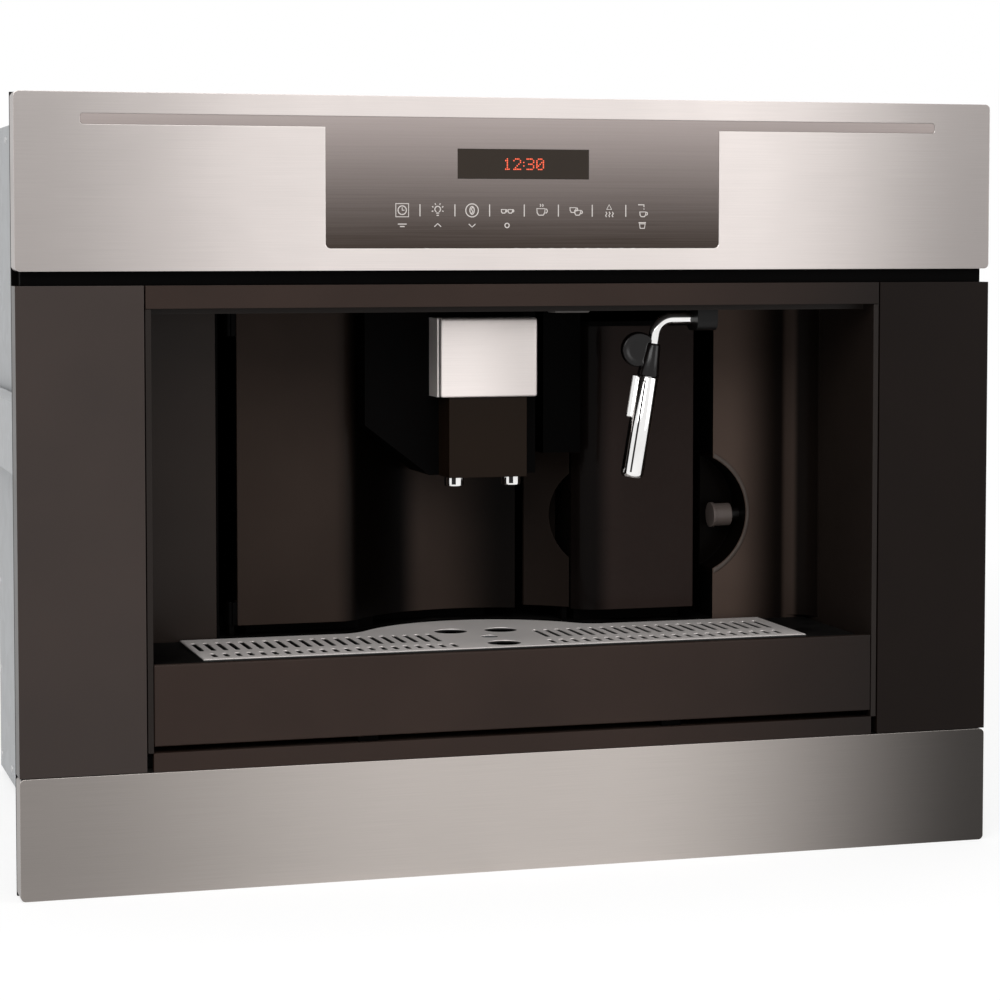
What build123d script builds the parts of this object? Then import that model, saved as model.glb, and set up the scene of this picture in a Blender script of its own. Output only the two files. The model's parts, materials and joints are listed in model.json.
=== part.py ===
from build123d import *
import os
from math import atan2, cos, pi, radians, sin, sqrt

os.makedirs("parts", exist_ok=True)

# Built-in coffee machine, millimetres.
# X runs to the right across the front, Y runs back into the cabinet and Z runs up.
# X = 0 is the middle, Y = 0 is the seat on the cabinet's front edge, Z = 0 is the bottom edge.

# ------------------------------------------------------------------ overall sizes
WIDTH = 594.0               # front, over the steel fascias
HEIGHT = 455.0
DEPTH = 398.0               # front face to the screw heads at the back
FRONT_T = 20.0              # what stands proud of the cabinet
NICHE_W = 560.0             # cabinet niche between its sides
CHASSIS_W = 528.0
CHASSIS_FOOT = 5.0          # chassis above the bottom edge of the front
CHASSIS_HEAD = 7.0          # chassis below the top edge of the front

# ------------------------------------------------------------------ front, bottom to top
LOWER_H = 69.5              # lower steel fascia
STRIP_H = 11.1              # dark strip under the drip tray
TRAY_LIFT = 3.9             # slit between strip and tray
TRAY_FRONT_H = 46.5
RAIL_H = 13.0               # rail over the cavity
SHADOW_H = 8.2              # black recess under the control fascia
CONTROL_H = 100.3
SIDE_PANEL_W = 72.5
SHADOW_INSET = 3.5          # the black recess stops short of the sides
SHADOW_DEPTH = 5.0          # and behind the front face
CORNER_R = 3.0              # fascia corners

# ------------------------------------------------------------------ walls and clearances
SHEET_T = 1.2               # chassis sheet
SKIN_T = 1.5                # steel fascia sheet
MOULD_T = 2.5               # plastic mouldings
LINER_T = 3.2               # cavity liner
WALL_T = 3.0                # back wall of the cavity
FRAME_T = 3.0
FRAME_LAP = 2.0             # frame opening behind the rail
SEAT_STEP = 1.0             # step in the frame that takes the chassis
FIT = 0.3                   # between neighbours that slide or drop in
SEAT = 0.1                  # under a loose piece that rests on another
RUN = 0.05                  # radial clearance of a turning pin
PANEL_GAP = 0.5             # between front pieces
OVER = 1.0                  # cutters run this far past the face they cut
EDGE = 0.6                  # small chamfers

# ------------------------------------------------------------------ control glass
GLASS_W = 240.0
GLASS_H = 75.6
GLASS_T = 2.8
GLASS_TOP_MARGIN = 12.0     # glass below the top edge of the fascia
GROOVE_W = 520.0
GROOVE_H = 6.0
GROOVE_R = 1.8
GLASS_INSET = 0.2           # glass behind the steel face
DISPLAY_W = 80.0
DISPLAY_H = 17.2
DISPLAY_X = -1.5
DISPLAY_DROP = 18.0         # top of the window below the top of the glass
BOARD_T = 1.6
BOARD_MARGIN = 8.0
MODULE_T = 2.0
POST_R = 2.0                # spacers between board and glass
CHIP = (26.0, 4.0, 12.0)
CHIPS_AT = [(-82.0, 30.0), (30.0, 24.0)]   # across the board, and above its glass

# ------------------------------------------------------------------ cavity back wall, left to right
WALL_DEPTH = 100.0          # behind the front face
HINGE_SLOT_W = 13.2
DOOR_W = 185.4
DOOR_LEFT = 147.8           # left edge of the door, from the middle of the niche
DOOR_GAP = 5.1
PILLAR_W = 24.3
PILLAR_FOOT = 9.0           # pillar above the cup grid
TANK_GAP = 1.0
TANK_W = 78.3
GRIP_GAP_W = 13.7
CORNER_SWEEP_R = 16.0       # right panel turns into the side wall
NICHE_X = -5.0              # round niche behind the cups
NICHE_R = 92.0
NICHE_CENTRE_DEPTH = 48.0
NICHE_BLEND = 18.0
CEILING_DROP = 3.5          # ceiling below the rail
STRIP_T = 6.0               # dark strip under the tray
PILLAR_BLOCK_RISE = 12.0    # black block on the pillar, above the foot of the slider
LENS_X = 45.0
LENS = (22.0, 16.0, 2.0)

# ------------------------------------------------------------------ service door and spout
DOOR_FOOT = 7.0             # door above the cup grid
DOOR_HEAD = 2.0
HINGE_INSET = 3.0           # hinge axis outside the edge of the door
HINGE_BACK = 5.0            # hinge axis behind the wall's rear face
PIN_R = 3.0
BARREL_R = 4.6
BARREL_L = 14.0
HINGE_PIN_REACH = 2.3       # pin into the floor and the ceiling of the bay
SPOUT_DEPTH = 60.0          # spout front behind the front face
SPOUT_W = 61.0
SPOUT_HEAD = 5.0            # steel cover below the ceiling
COVER_T = 1.5
SLIDER_W = 49.0
SLIDER_SHOWN = 49.0         # slider below the cover when it is down
SLIDER_LAP = 6.0            # slider inside the cover when it is down
SLIDER_TRAVEL = 40.0
SLIDER_HEAD = 0.5           # free height over the raised slider
SLIDER_INSET = 3.0          # slider behind the face of the cover
NOZZLE_PITCH = 36.4
NOZZLE_R = 6.0
NOZZLE_BORE_R = 3.5
NOZZLE_DROP = 6.0
ARM_LEFT = 71.0             # arm, left of the niche centre
ARM_SLOPE = 31.0            # height of the sloped edge under the arm
ARM_FRONT = 12.0            # arm in front of the flat wall

# ------------------------------------------------------------------ steam wand
WAND_X = 119.0              # bracket face
WAND_DEPTH = 42.0
WAND_DROP = 5.5             # hinge axis below the ceiling
WAND_LEG = 22.8             # hinge leg, bracket face to bend
WAND_TILT = 9.5             # degrees
WAND_R = 3.5
WAND_BEND_R = 11.0
GRIP_TOP = 15.5             # grip below the bend, along the wand
GRIP_L = 20.5
GRIP_TOP_R = 4.6
GRIP_FOOT_R = 6.8
DISC_R = 10.7
DISC_T = 6.0
DISC_X = 9.0                # disc centre beside the wand
DISC_DROP = 20.5            # disc centre below the bend, along the wand
FROTHER_R = 7.0
FROTHER_T = 1.0
FROTHER_L = 62.0
FROTHER_TRAVEL = 28.0
FROTHER_HOLD = 6.0          # pipe still in the sleeve when it is pulled down
FROTHER_COLLAR = 4.0
AIR_PIPE_R = 1.8
AIR_PIPE_SINK = 0.5         # pipe sunk into the sleeve
AIR_PIPE_L = 26.0
BRACKET_L = 13.0
BRACKET_W = 20.0
BRACKET_H = 13.0
BRACKET_R = 5.8

# ------------------------------------------------------------------ drip tray
TRAY_SIDE_GAP = 4.0         # tray body short of the cavity walls
TRAY_BACK_GAP = 1.0
TRAY_WALL = 2.5
TRAY_RIM_DROP = 1.5         # rim below the grid
TRAY_FACE_T = 4.0
TRAY_RECESS_W = 8.0         # low strip behind the tray front
TRAY_RECESS_H = 4.0
WELL_BACK_GAP = 3.0
LEDGE = 2.0
GRID_LEFT_GAP = 31.5        # grid short of the cavity walls
GRID_RIGHT_GAP = 36.4
GRID_FRONT_DEPTH = 16.0
GRID_BACK_GAP = 3.6
GRID_H = 6.0
GRID_T = 1.5
GRID_EDGE_R = 1.2           # rounded upper edge
SLOT_PITCH = 7.25
SLOT_W = 3.4
SLOT_SHORT = 14.0
SLOT_LONG = 32.0
SLOT_SHORT_DEPTH = 30.0
SLOT_LONG_DEPTH = 64.0
SLOT_FREE = 27.0            # plain middle of the grid, each side
DISH_HOLE_R = 10.3
DISH_HOLES = [(-17.0, 88.0), (14.5, 86.0), (1.0, 32.0)]   # from the niche centre, and depth
FLOAT_DEPTH = 60.0
FLOAT_R = 4.5
FLOAT_HOLE_R = 5.5
FLOAT_FOOT_R = 9.0
FLOAT_FOOT_H = 20.0
SKID_W = 12.0               # skids under the tray

# ------------------------------------------------------------------ water tank
TANK_L = 160.0
TANK_H = 182.2              # with its lid
TANK_WALL = 2.5
TANK_LID_T = 3.0
TANK_LIP = 6.0
DOCK_T = 7.9
DOCK_MARGIN = 4.0
GRIP_R = 39.2               # finger recesses beside the tank
GRIP_HEIGHT = 67.1          # recess centre above the cup grid
GRIP_LEFT_REACH = 10.4      # how far each recess cuts past the edge of its panel
GRIP_RIGHT_REACH = 22.4
GRIP_DEPTH = 24.0
GRIP_WALL = 2.5
PLUNGER_R = 7.3
PLUNGER_FLANGE_R = 8.0
PLUNGER_FLANGE_T = 2.0
PLUNGER_STEM_R = 4.0
PLUNGER_INSET = 3.7         # plunger behind the edge of the right panel
PLUNGER_DROP = 2.5          # plunger axis below the middle of its recess
PLUNGER_TRAVEL = 4.0
PLUNGER_STOP = 2.0          # between the pressed plunger and its recess

# ------------------------------------------------------------------ bays behind the wall
BAY_L = 207.0               # depth of the two bays
BAY_POST_R = 5.0            # posts from the chassis floor to the bays
BAY_POST_INSET = 10.0
GROUNDS_W = 83.0
GROUNDS_L = 138.0
GROUNDS_H = 104.0
GROUNDS_T = 2.0
GROUNDS_MARGIN = 16.0
INFUSER_X = -20.0
INFUSER_BACK = 85.0         # chamber axis behind the flat wall
CHAMBER_R = 22.4
CHAMBER_T = 3.6
CHAMBER_HEAD = 10.0         # chamber above the raised piston
CHAMBER_WEB = 6.0           # webs sunk into the chamber wall
INFUSER_W = 76.0
INFUSER_PLATE = 6.0
INFUSER_DROP = 31.0         # infuser below the ceiling of the bay
INFUSER_FRONT = 32.0        # plates in front of the chamber axis
PISTON_R = 22.0
PISTON_T = 8.0
PISTON_LIFT = 4.0           # piston above the foot of the chamber
STEM_R = 6.0
NUT_R = 8.0
NUT_H = 8.0
NUT_GAP = 1.0               # raised nut below the chamber
NUT_FOOT = 14.0             # lowered nut above the lower plate
CHAMBER_DROP = 31.0         # chamber below the upper plate
SCREW_R = 4.0
SCREW_BACK = 36.0           # drive screw behind the chamber axis
SCREW_COLLAR_R = 7.0
SCREW_COLLAR_H = 6.0
SCREW_SEAT = 5.0            # screw in the lower plate
SCREW_MARGIN = 2.0          # plates behind the collar

# ------------------------------------------------------------------ grinder and bean container
GRINDER_X = -40.0
GRINDER_Y = 213.0
GRINDER_R = 38.0
GRINDER_H = 51.5
BURR_R = 22.0
BURR_H = 24.0
BURR_TOP_R = 10.0
BURR_SHAFT_R = 3.0
BURR_FLUTES = 12
BURR_FLUTE = (8.0, 1.6)
GEARCASE_H = 14.0
MOTOR_X = -124.0
MOTOR_R = 25.0
MOTOR_H = 36.0
HOPPER_W = 124.0
HOPPER_L = 118.0
HOPPER_X = -44.0
HOPPER_STRAIGHT = 46.0
HOPPER_THROAT_R = 26.0
CHUTE_X = 42.0
CHUTE_R = 20.0
DUCT_R = 10.0               # powder duct from the chute into the bay
DUCT_REACH = 3.0
FLANGE_T = 1.8
FLANGE_MARGIN = 7.0
LID_T = 3.0
LID_PIN_RISE = 0.4          # hinge pin above the middle of the lid
LID_PIN_R = 1.2
LID_EAR_R = 2.6
LID_EAR_T = 4.0
LID_EDGE = 1.0              # lid past the opening under it
LID_BACK = 5.0              # hinge of the powder lid behind its opening
LID_GROOVE = (18.0, 4.0, 1.0)
LID_GROOVE_INSET = 8.0
KNOB_R = 13.0
KNOB_H = 4.5
KNOB_STEM_R = 3.0
KNOB_Y = 172.0
KNOB_REACH = 5.0            # stem below the flange
KNOB_FLUTES = 16
KNOB_FLUTE_R = 1.2
KNOB_MARK = (1.5, 6.5)
KNOB_MARK_AT = 7.8          # pointer in front of the knob's axis

# ------------------------------------------------------------------ water and electric parts
BOILER_X = 205.0
BOILER_Y = 200.0
BOILER_R = 37.0
BOILER_FOOT = 150.0
BOILER_H = 140.0
BOILER_DOME = 8.0
BOILER_BRACKET_W = 28.0
BOILER_BRACKET_H = 80.0
BOILER_SINK = 7.4           # bracket sunk into the boiler's side
PUMP_X = 105.0
PUMP_BACK = 43.0            # pump axis in front of the rear cover
PUMP_Z = 60.0
PUMP_R = 24.0
PUMP_L = 90.0
PUMP_PLATE = 4.0
PUMP_PLATE_INSET = 12.0
PUMP_LEG_INSET = 20.0
PUMP_LEG_W = 38.4
HOSE_R = 3.0
HOSE_BEND = 14.0
HOSE_X = 98.0               # tank outlet
HOSE_Y = 225.0
HOSE_DUCT_DROP = 50.0       # steam hose below the top cover
NIPPLE_R = 5.5
NIPPLE_L = 3.0
POWER_BOARD_L = 190.0
POWER_BOARD_H = 150.0
POWER_BOARD_Y = 215.0
POWER_BOARD_Z = 210.0
STANDOFF_L = 7.0
STANDOFF_R = 3.0
STANDOFF_INSET = 8.0
TRANSFORMER = (46.0, 36.0, 30.0)
TRANSFORMER_AT = (-30.0, -40.0)
RELAY = (26.0, 12.0, 16.0)
RELAYS = 4
RELAY_PITCH = 20.0
RELAYS_AT = (40.0, 30.0)
CAPACITOR = (7.0, 24.0)     # radius, height
CAPACITOR_PITCH = 18.0
CAPACITORS_AT = (-10.0, 50.0)
INLET_X = -195.0
INLET_Z = 62.0
INLET_W = 30.0
INLET_H = 64.0
INLET_L = 26.0
SOCKET_W = 24.5
SOCKET_H = 16.5
SOCKET_L = 16.0
SOCKET_RISE = 16.0          # socket and switch centres from the middle of the module
BLADE = (2.0, 12.0, 4.0)
BLADE_PITCH = 6.9
ROCKER_W = 17.0
ROCKER_H = 22.0
ROCKER_T = 9.0
ROCKER_TILT = 6.0
ROCKER_BACK = 8.0
ROCKER_PIN_R = 1.2
ROCKER_PIN_REACH = 2.5      # pin beside the rocker
ROCKER_HEAD = 1.5           # room over and under the rocker
VENT_W = 3.0
VENT_L = 40.0
VENT_PITCH = 9.0
REAR_VENTS = 11
REAR_VENT_X = 158.0
REAR_VENT_DROP = 90.0       # upper rows below the top cover
REAR_VENT_RISE = 130.0      # lower rows above the chassis floor
TOP_VENTS = 9
TOP_VENT_X = 185.0
TOP_VENT_Y = 225.0
COVER_HEAD_H = 1.8
COVER_HEAD_R = 3.5
COVER_SHANK_R = 1.9
COVER_SHANK_L = 9.0
COVER_SCREW_INSET = 14.0
COVER_SCREW_END = 16.0

# ------------------------------------------------------------------ telescopic side runners
RUNNER_T = 12.5             # from the cabinet side to the open edge
RUNNER_H = 45.0
RUNNER_SHEET = 1.5
RUNNER_FRONT = 6.0          # behind the cabinet's front edge
RUNNER_MID_Z = 250.0
RUNNER_SCREW_R = 2.25
RUNNER_SCREW_PITCH = 288.0
PULL_OUT = 300.0            # how far the machine slides out
RUNNER_HOLD = 60.0          # runners still in each other then

# ------------------------------------------------------------------ places that follow from the sizes
y_front = -FRONT_T
y_back = DEPTH - FRONT_T
y_wall = y_front + WALL_DEPTH
z_strip = LOWER_H
z_deck = z_strip + STRIP_H
z_tray = z_deck + TRAY_LIFT
z_grid = z_tray + TRAY_FRONT_H
z_control = HEIGHT - CONTROL_H
z_shadow = z_control - SHADOW_H
z_rail = z_shadow - RAIL_H
z_ceiling = z_rail - CEILING_DROP
x_side = WIDTH / 2 - SIDE_PANEL_W
x_cavity = x_side - LINER_T - FIT
x_chassis = CHASSIS_W / 2
z_chassis = CHASSIS_FOOT
z_chassis_top = HEIGHT - CHASSIS_HEAD
y_chassis = -SEAT_STEP
y_cover = y_back - COVER_HEAD_H - SHEET_T

x_door = NICHE_X - DOOR_LEFT
x_hinge_slot = x_door - HINGE_SLOT_W
x_door_end = x_door + DOOR_W
x_pillar = x_door_end + DOOR_GAP
x_tank = x_pillar + PILLAR_W + TANK_GAP
x_pillar_end = x_pillar + PILLAR_W
x_tank_end = x_tank + TANK_W
x_right_panel = x_tank_end + GRIP_GAP_W
y_niche = y_front + NICHE_CENTRE_DEPTH

x_hinge = x_door - HINGE_INSET
y_hinge = y_wall + WALL_T + HINGE_BACK
z_door = z_grid + DOOR_FOOT
z_door_top = z_ceiling - DOOR_HEAD
z_spout_top = z_ceiling - SPOUT_HEAD
z_spout = z_spout_top - COVER_T - SLIDER_HEAD - SLIDER_TRAVEL - SLIDER_LAP
z_slider = z_spout - SLIDER_SHOWN

wall_span = 2 * (NICHE_R + NICHE_BLEND + WALL_DEPTH)


def block(low, high, mode=Mode.ADD):
    """A box between two opposite corners."""
    size = [b - a for a, b in zip(low, high)]
    centre = tuple((a + b) / 2 for a, b in zip(low, high))
    with Locations(centre):
        Box(*size, mode=mode)


def rod(start, end, radius, mode=Mode.ADD):
    """A round bar between two points."""
    span = Vector(*end) - Vector(*start)
    with Locations(Plane(origin=start, z_dir=span)):
        Cylinder(radius, span.length, align=(Align.CENTER, Align.CENTER, Align.MIN), mode=mode)


def space_in_front(behind):
    """Plan of the space before the back wall, with its edge moved back by a distance."""
    blend = NICHE_BLEND - behind
    radius = NICHE_R + behind
    flat = y_wall + behind
    rise = y_wall + NICHE_BLEND - y_niche
    reach = sqrt((NICHE_R + NICHE_BLEND) ** 2 - rise**2)
    share = radius / (NICHE_R + NICHE_BLEND)
    half_turn = (pi / 2 - atan2(rise, reach)) / 2
    left, right = NICHE_X - reach, NICHE_X + reach
    touch_y = y_niche + share * rise
    mid_x, mid_y = blend * sin(half_turn), blend * cos(half_turn)
    with BuildSketch(mode=Mode.PRIVATE) as space:
        with BuildLine():
            Polyline(
                (left, flat), (-wall_span, flat), (-wall_span, -wall_span),
                (wall_span, -wall_span), (wall_span, flat), (right, flat),
            )
            ThreePointArc(
                (right, flat),
                (right - mid_x, y_wall + NICHE_BLEND - mid_y),
                (NICHE_X + share * reach, touch_y),
            )
            ThreePointArc(
                (NICHE_X + share * reach, touch_y),
                (NICHE_X, y_niche + radius),
                (NICHE_X - share * reach, touch_y),
            )
            ThreePointArc(
                (NICHE_X - share * reach, touch_y),
                (left + mid_x, y_wall + NICHE_BLEND - mid_y),
                (left, flat),
            )
        make_face()
    return space.sketch


def wall_strip(left, right):
    """Plan of the back wall between two places across the cavity."""
    with BuildSketch(mode=Mode.PRIVATE) as strip:
        add(space_in_front(WALL_T))
        add(space_in_front(0), mode=Mode.SUBTRACT)
        with Locations(((left + right) / 2, y_wall)):
            Rectangle(right - left, wall_span, mode=Mode.INTERSECT)
    return strip.sketch


def plan_to_wall(left, right, front, clearance):
    """Plan of a flat piece that reaches back to the wall, less a clearance."""
    with BuildSketch(mode=Mode.PRIVATE) as plan:
        add(space_in_front(-clearance))
        with Locations(((left + right) / 2, front)):
            Rectangle(right - left, wall_span, align=(Align.CENTER, Align.MIN), mode=Mode.INTERSECT)
    return plan.sketch


def finger_cup(centre_x, back, radius, mode=Mode.ADD):
    """A round dish sunk behind the wall, with its axis from front to back."""
    with Locations(Plane(origin=(centre_x, y_wall, z_grid + GRIP_HEIGHT), z_dir=(0, 1, 0))):
        Cylinder(radius, back, align=(Align.CENTER, Align.CENTER, Align.MIN), mode=mode)


# ================================================================== telescopic runners
runner_y = (RUNNER_FRONT, RUNNER_FRONT + PULL_OUT + RUNNER_HOLD)
runner_mid_y = (runner_y[0] + runner_y[1]) / 2
runner_screw_y = [runner_mid_y + side * RUNNER_SCREW_PITCH / 2 for side in (-1, 1)]
fixed_inside = RUNNER_H / 2 - RUNNER_SHEET
mid_outside = fixed_inside - FIT
mid_inside = mid_outside - RUNNER_SHEET
inner_outside = mid_inside - FIT
fixed_x = (NICHE_W / 2 - RUNNER_T, NICHE_W / 2)
mid_x = (fixed_x[0], fixed_x[1] - RUNNER_SHEET - FIT)
inner_x = (x_chassis, mid_x[1] - RUNNER_SHEET - FIT)


def channel(x_open, x_web, half_height, side):
    """A runner member: a channel along Y with its web at one side."""
    toward_web = 1 if x_web > x_open else -1
    low_x, high_x = sorted((side * x_open, side * x_web))
    block((low_x, runner_y[0], RUNNER_MID_Z - half_height), (high_x, runner_y[1], RUNNER_MID_Z + half_height))
    web_face = x_web - toward_web * RUNNER_SHEET
    low_x, high_x = sorted((side * (x_open - toward_web), side * web_face))
    hollow = half_height - RUNNER_SHEET
    block(
        (low_x, runner_y[0] - OVER, RUNNER_MID_Z - hollow),
        (high_x, runner_y[1] + OVER, RUNNER_MID_Z + hollow),
        mode=Mode.SUBTRACT,
    )


for side, word in ((-1, "left"), (1, "right")):
    with BuildPart() as runner_fixed:
        channel(fixed_x[0], fixed_x[1], RUNNER_H / 2, side)
        for hole_y in runner_screw_y:
            rod(
                (side * fixed_x[0], hole_y, RUNNER_MID_Z),
                (side * (fixed_x[1] + OVER), hole_y, RUNNER_MID_Z),
                RUNNER_SCREW_R,
                mode=Mode.SUBTRACT,
            )
    runner_fixed.part.label = f"runner_fixed_{word}"
    export_step(runner_fixed.part, f"parts/runner_fixed_{word}.step")

    with BuildPart() as runner_mid:
        channel(mid_x[0], mid_x[1], mid_outside, side)
    runner_mid.part.label = f"runner_mid_{word}"
    export_step(runner_mid.part, f"parts/runner_mid_{word}.step")

with BuildPart() as runners_inner:
    for side in (-1, 1):
        channel(inner_x[1], inner_x[0], inner_outside, side)
runners_inner.part.label = "runners_inner"
export_step(runners_inner.part, "parts/runners_inner.step")

# ================================================================== chassis
with BuildPart() as chassis_base:
    block((-x_chassis, y_chassis, z_chassis), (x_chassis, y_cover, z_chassis + SHEET_T))
    block(
        (-x_chassis + SHEET_T, y_chassis, z_chassis),
        (x_chassis - SHEET_T, y_chassis + SHEET_T, z_strip - FIT),
    )
chassis_base.part.label = "chassis_base"
export_step(chassis_base.part, "parts/chassis_base.step")

for side, word in ((-1, "left"), (1, "right")):
    inner, outer = sorted((side * (x_chassis - SHEET_T), side * x_chassis))
    with BuildPart() as side_wall:
        block((inner, y_chassis, z_chassis + SHEET_T), (outer, y_cover, z_chassis_top - SHEET_T))
    side_wall.part.label = f"side_wall_{word}"
    export_step(side_wall.part, f"parts/side_wall_{word}.step")

inlet_low = (INLET_X - INLET_W / 2, INLET_Z - INLET_H / 2)
inlet_high = (INLET_X + INLET_W / 2, INLET_Z + INLET_H / 2)
cover_screw_x = x_chassis - COVER_SCREW_INSET
cover_screw_z = [
    z_chassis + COVER_SCREW_END,
    (z_chassis + z_chassis_top) / 2,
    z_chassis_top - COVER_SCREW_END,
]
cover_screws_at = [(side * cover_screw_x, z) for side in (-1, 1) for z in cover_screw_z]
cover_screws_at += [(0.0, cover_screw_z[0]), (0.0, cover_screw_z[-1])]

with BuildPart() as rear_cover:
    block((-x_chassis, y_cover, z_chassis), (x_chassis, y_cover + SHEET_T, z_chassis_top))
    block(
        (inlet_low[0] - FIT, y_cover - OVER, inlet_low[1] - FIT),
        (inlet_high[0] + FIT, y_back, inlet_high[1] + FIT),
        mode=Mode.SUBTRACT,
    )
    for x, z in cover_screws_at:
        rod((x, y_cover - OVER, z), (x, y_back, z), COVER_SHANK_R + SEAT, mode=Mode.SUBTRACT)
    with BuildSketch(Plane.XZ.offset(-y_cover - SHEET_T - OVER)):
        for centre_x in (0.0, REAR_VENT_X):
            with Locations(
                (centre_x, z_chassis_top - REAR_VENT_DROP),
                (centre_x, z_chassis + REAR_VENT_RISE),
            ):
                with GridLocations(VENT_PITCH, 0, REAR_VENTS, 1):
                    SlotOverall(VENT_L, VENT_W, rotation=90)
    extrude(amount=SHEET_T + 2 * OVER, mode=Mode.SUBTRACT)
rear_cover.part.label = "rear_cover"
export_step(rear_cover.part, "parts/rear_cover.step")

with BuildPart() as cover_screws:
    for x, z in cover_screws_at:
        rod((x, y_cover + SHEET_T - COVER_SHANK_L, z), (x, y_cover + SHEET_T, z), COVER_SHANK_R)
        rod((x, y_cover + SHEET_T, z), (x, y_back, z), COVER_HEAD_R)
cover_screws.part.label = "cover_screws"
export_step(cover_screws.part, "parts/cover_screws.step")

# ------------------------------------------------------------------ lids' places, needed by the top cover
hopper_low = (HOPPER_X - HOPPER_W / 2, GRINDER_Y - HOPPER_L / 2)
hopper_high = (HOPPER_X + HOPPER_W / 2, GRINDER_Y + HOPPER_L / 2)
chute_high_x = CHUTE_X + CHUTE_R + MOULD_T
top_hole_low = (hopper_low[0] - FIT, hopper_low[1] - FIT)
top_hole_high = (chute_high_x + FIT, hopper_high[1] + FIT)
z_flange = z_chassis_top + FLANGE_T

with BuildPart() as top_cover:
    block((-x_chassis, y_chassis, z_chassis_top - SHEET_T), (x_chassis, y_cover, z_chassis_top))
    block(
        (top_hole_low[0], top_hole_low[1], z_chassis_top - SHEET_T - OVER),
        (top_hole_high[0], top_hole_high[1], z_chassis_top + OVER),
        mode=Mode.SUBTRACT,
    )
    with BuildSketch(Plane.XY.offset(z_chassis_top - SHEET_T - OVER)):
        with Locations((-TOP_VENT_X, TOP_VENT_Y), (TOP_VENT_X, TOP_VENT_Y)):
            with GridLocations(VENT_PITCH, 0, TOP_VENTS, 1):
                SlotOverall(VENT_L, VENT_W, rotation=90)
    extrude(amount=SHEET_T + 2 * OVER, mode=Mode.SUBTRACT)
top_cover.part.label = "top_cover"
export_step(top_cover.part, "parts/top_cover.step")

# ================================================================== front frame and fascias
window_x = x_side + FIT
window_low = z_strip
window_high = z_rail + FRAME_LAP

with BuildPart() as front_frame:
    block((-WIDTH / 2, -FRAME_T, 0), (WIDTH / 2, 0, HEIGHT))
    block(
        (-x_chassis - FIT, -SEAT_STEP, z_chassis - FIT),
        (x_chassis + FIT, 1, z_chassis_top + FIT),
        mode=Mode.SUBTRACT,
    )
    block((-window_x, y_front, window_low), (window_x, 1, window_high), mode=Mode.SUBTRACT)
    block(
        (-GLASS_W / 2 + BOARD_MARGIN, y_front, z_control + BOARD_MARGIN + SKIN_T),
        (GLASS_W / 2 - BOARD_MARGIN, 1, HEIGHT - 2 * BOARD_MARGIN),
        mode=Mode.SUBTRACT,
    )
    block(
        (-WIDTH / 2 + SHADOW_INSET, y_front + SHADOW_DEPTH, z_shadow),
        (WIDTH / 2 - SHADOW_INSET, -FRAME_T, z_control),
    )
front_frame.part.label = "front_frame"
export_step(front_frame.part, "parts/front_frame.step")

glass_top = HEIGHT - GLASS_TOP_MARGIN
glass_foot = glass_top - GLASS_H
display_top = glass_top - DISPLAY_DROP
display_low = (DISPLAY_X - DISPLAY_W / 2, display_top - DISPLAY_H)
display_high = (DISPLAY_X + DISPLAY_W / 2, display_top)


def glass_plan(grow):
    """Outline of the control glass: a panel under a long narrow bar."""
    with BuildSketch(mode=Mode.PRIVATE) as plan:
        with Locations((0, (glass_top + glass_foot) / 2)):
            RectangleRounded(GLASS_W + 2 * grow, GLASS_H + 2 * grow, CORNER_R)
        with Locations((0, glass_top - GROOVE_H / 2)):
            RectangleRounded(GROOVE_W + 2 * grow, GROOVE_H + 2 * grow, GROOVE_R)
    return plan.sketch


def fascia_plan(foot, head, inset):
    """Outline of a steel fascia between two heights, with its edge moved in."""
    with BuildSketch(mode=Mode.PRIVATE) as plan:
        with Locations((0, (foot + head) / 2)):
            RectangleRounded(WIDTH - 2 * inset, head - foot - 2 * inset, CORNER_R - inset / 2)
    return plan.sketch


def front_plane(depth):
    """A plane that faces forward, at a depth behind the front face."""
    return Plane(origin=(0, y_front + depth, 0), x_dir=(1, 0, 0), z_dir=(0, -1, 0))


glass_hole = glass_plan(SEAT)
glass_shape = glass_plan(0)
fascia_depth = FRONT_T - FRAME_T
control_outside = fascia_plan(z_control, HEIGHT, 0)
control_inside = fascia_plan(z_control, HEIGHT, SKIN_T)
lower_outside = fascia_plan(0, z_strip, 0)
lower_inside = fascia_plan(0, z_strip, SKIN_T)

with BuildPart() as control_fascia:
    with BuildSketch(front_plane(fascia_depth)):
        add(control_outside)
    extrude(amount=fascia_depth)
    with BuildSketch(front_plane(fascia_depth)):
        add(control_inside)
    extrude(amount=fascia_depth - SKIN_T, mode=Mode.SUBTRACT)
    with BuildSketch(front_plane(FRONT_T)):
        add(glass_hole)
    extrude(amount=2 * FRONT_T, mode=Mode.SUBTRACT)
control_fascia.part.label = "control_fascia"
export_step(control_fascia.part, "parts/control_fascia.step")

with BuildPart() as control_glass:
    with BuildSketch(front_plane(GLASS_INSET + GLASS_T)):
        add(glass_shape)
    extrude(amount=GLASS_T)
    block(
        (display_low[0] - SEAT, y_front, display_low[1] - SEAT),
        (display_high[0] + SEAT, 0, display_high[1] + SEAT),
        mode=Mode.SUBTRACT,
    )
control_glass.part.label = "control_glass"
export_step(control_glass.part, "parts/control_glass.step")

with BuildPart() as display_window:
    block(
        (display_low[0], y_front + GLASS_INSET, display_low[1]),
        (display_high[0], y_front + GLASS_INSET + GLASS_T, display_high[1]),
    )
display_window.part.label = "display_window"
export_step(display_window.part, "parts/display_window.step")

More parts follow.
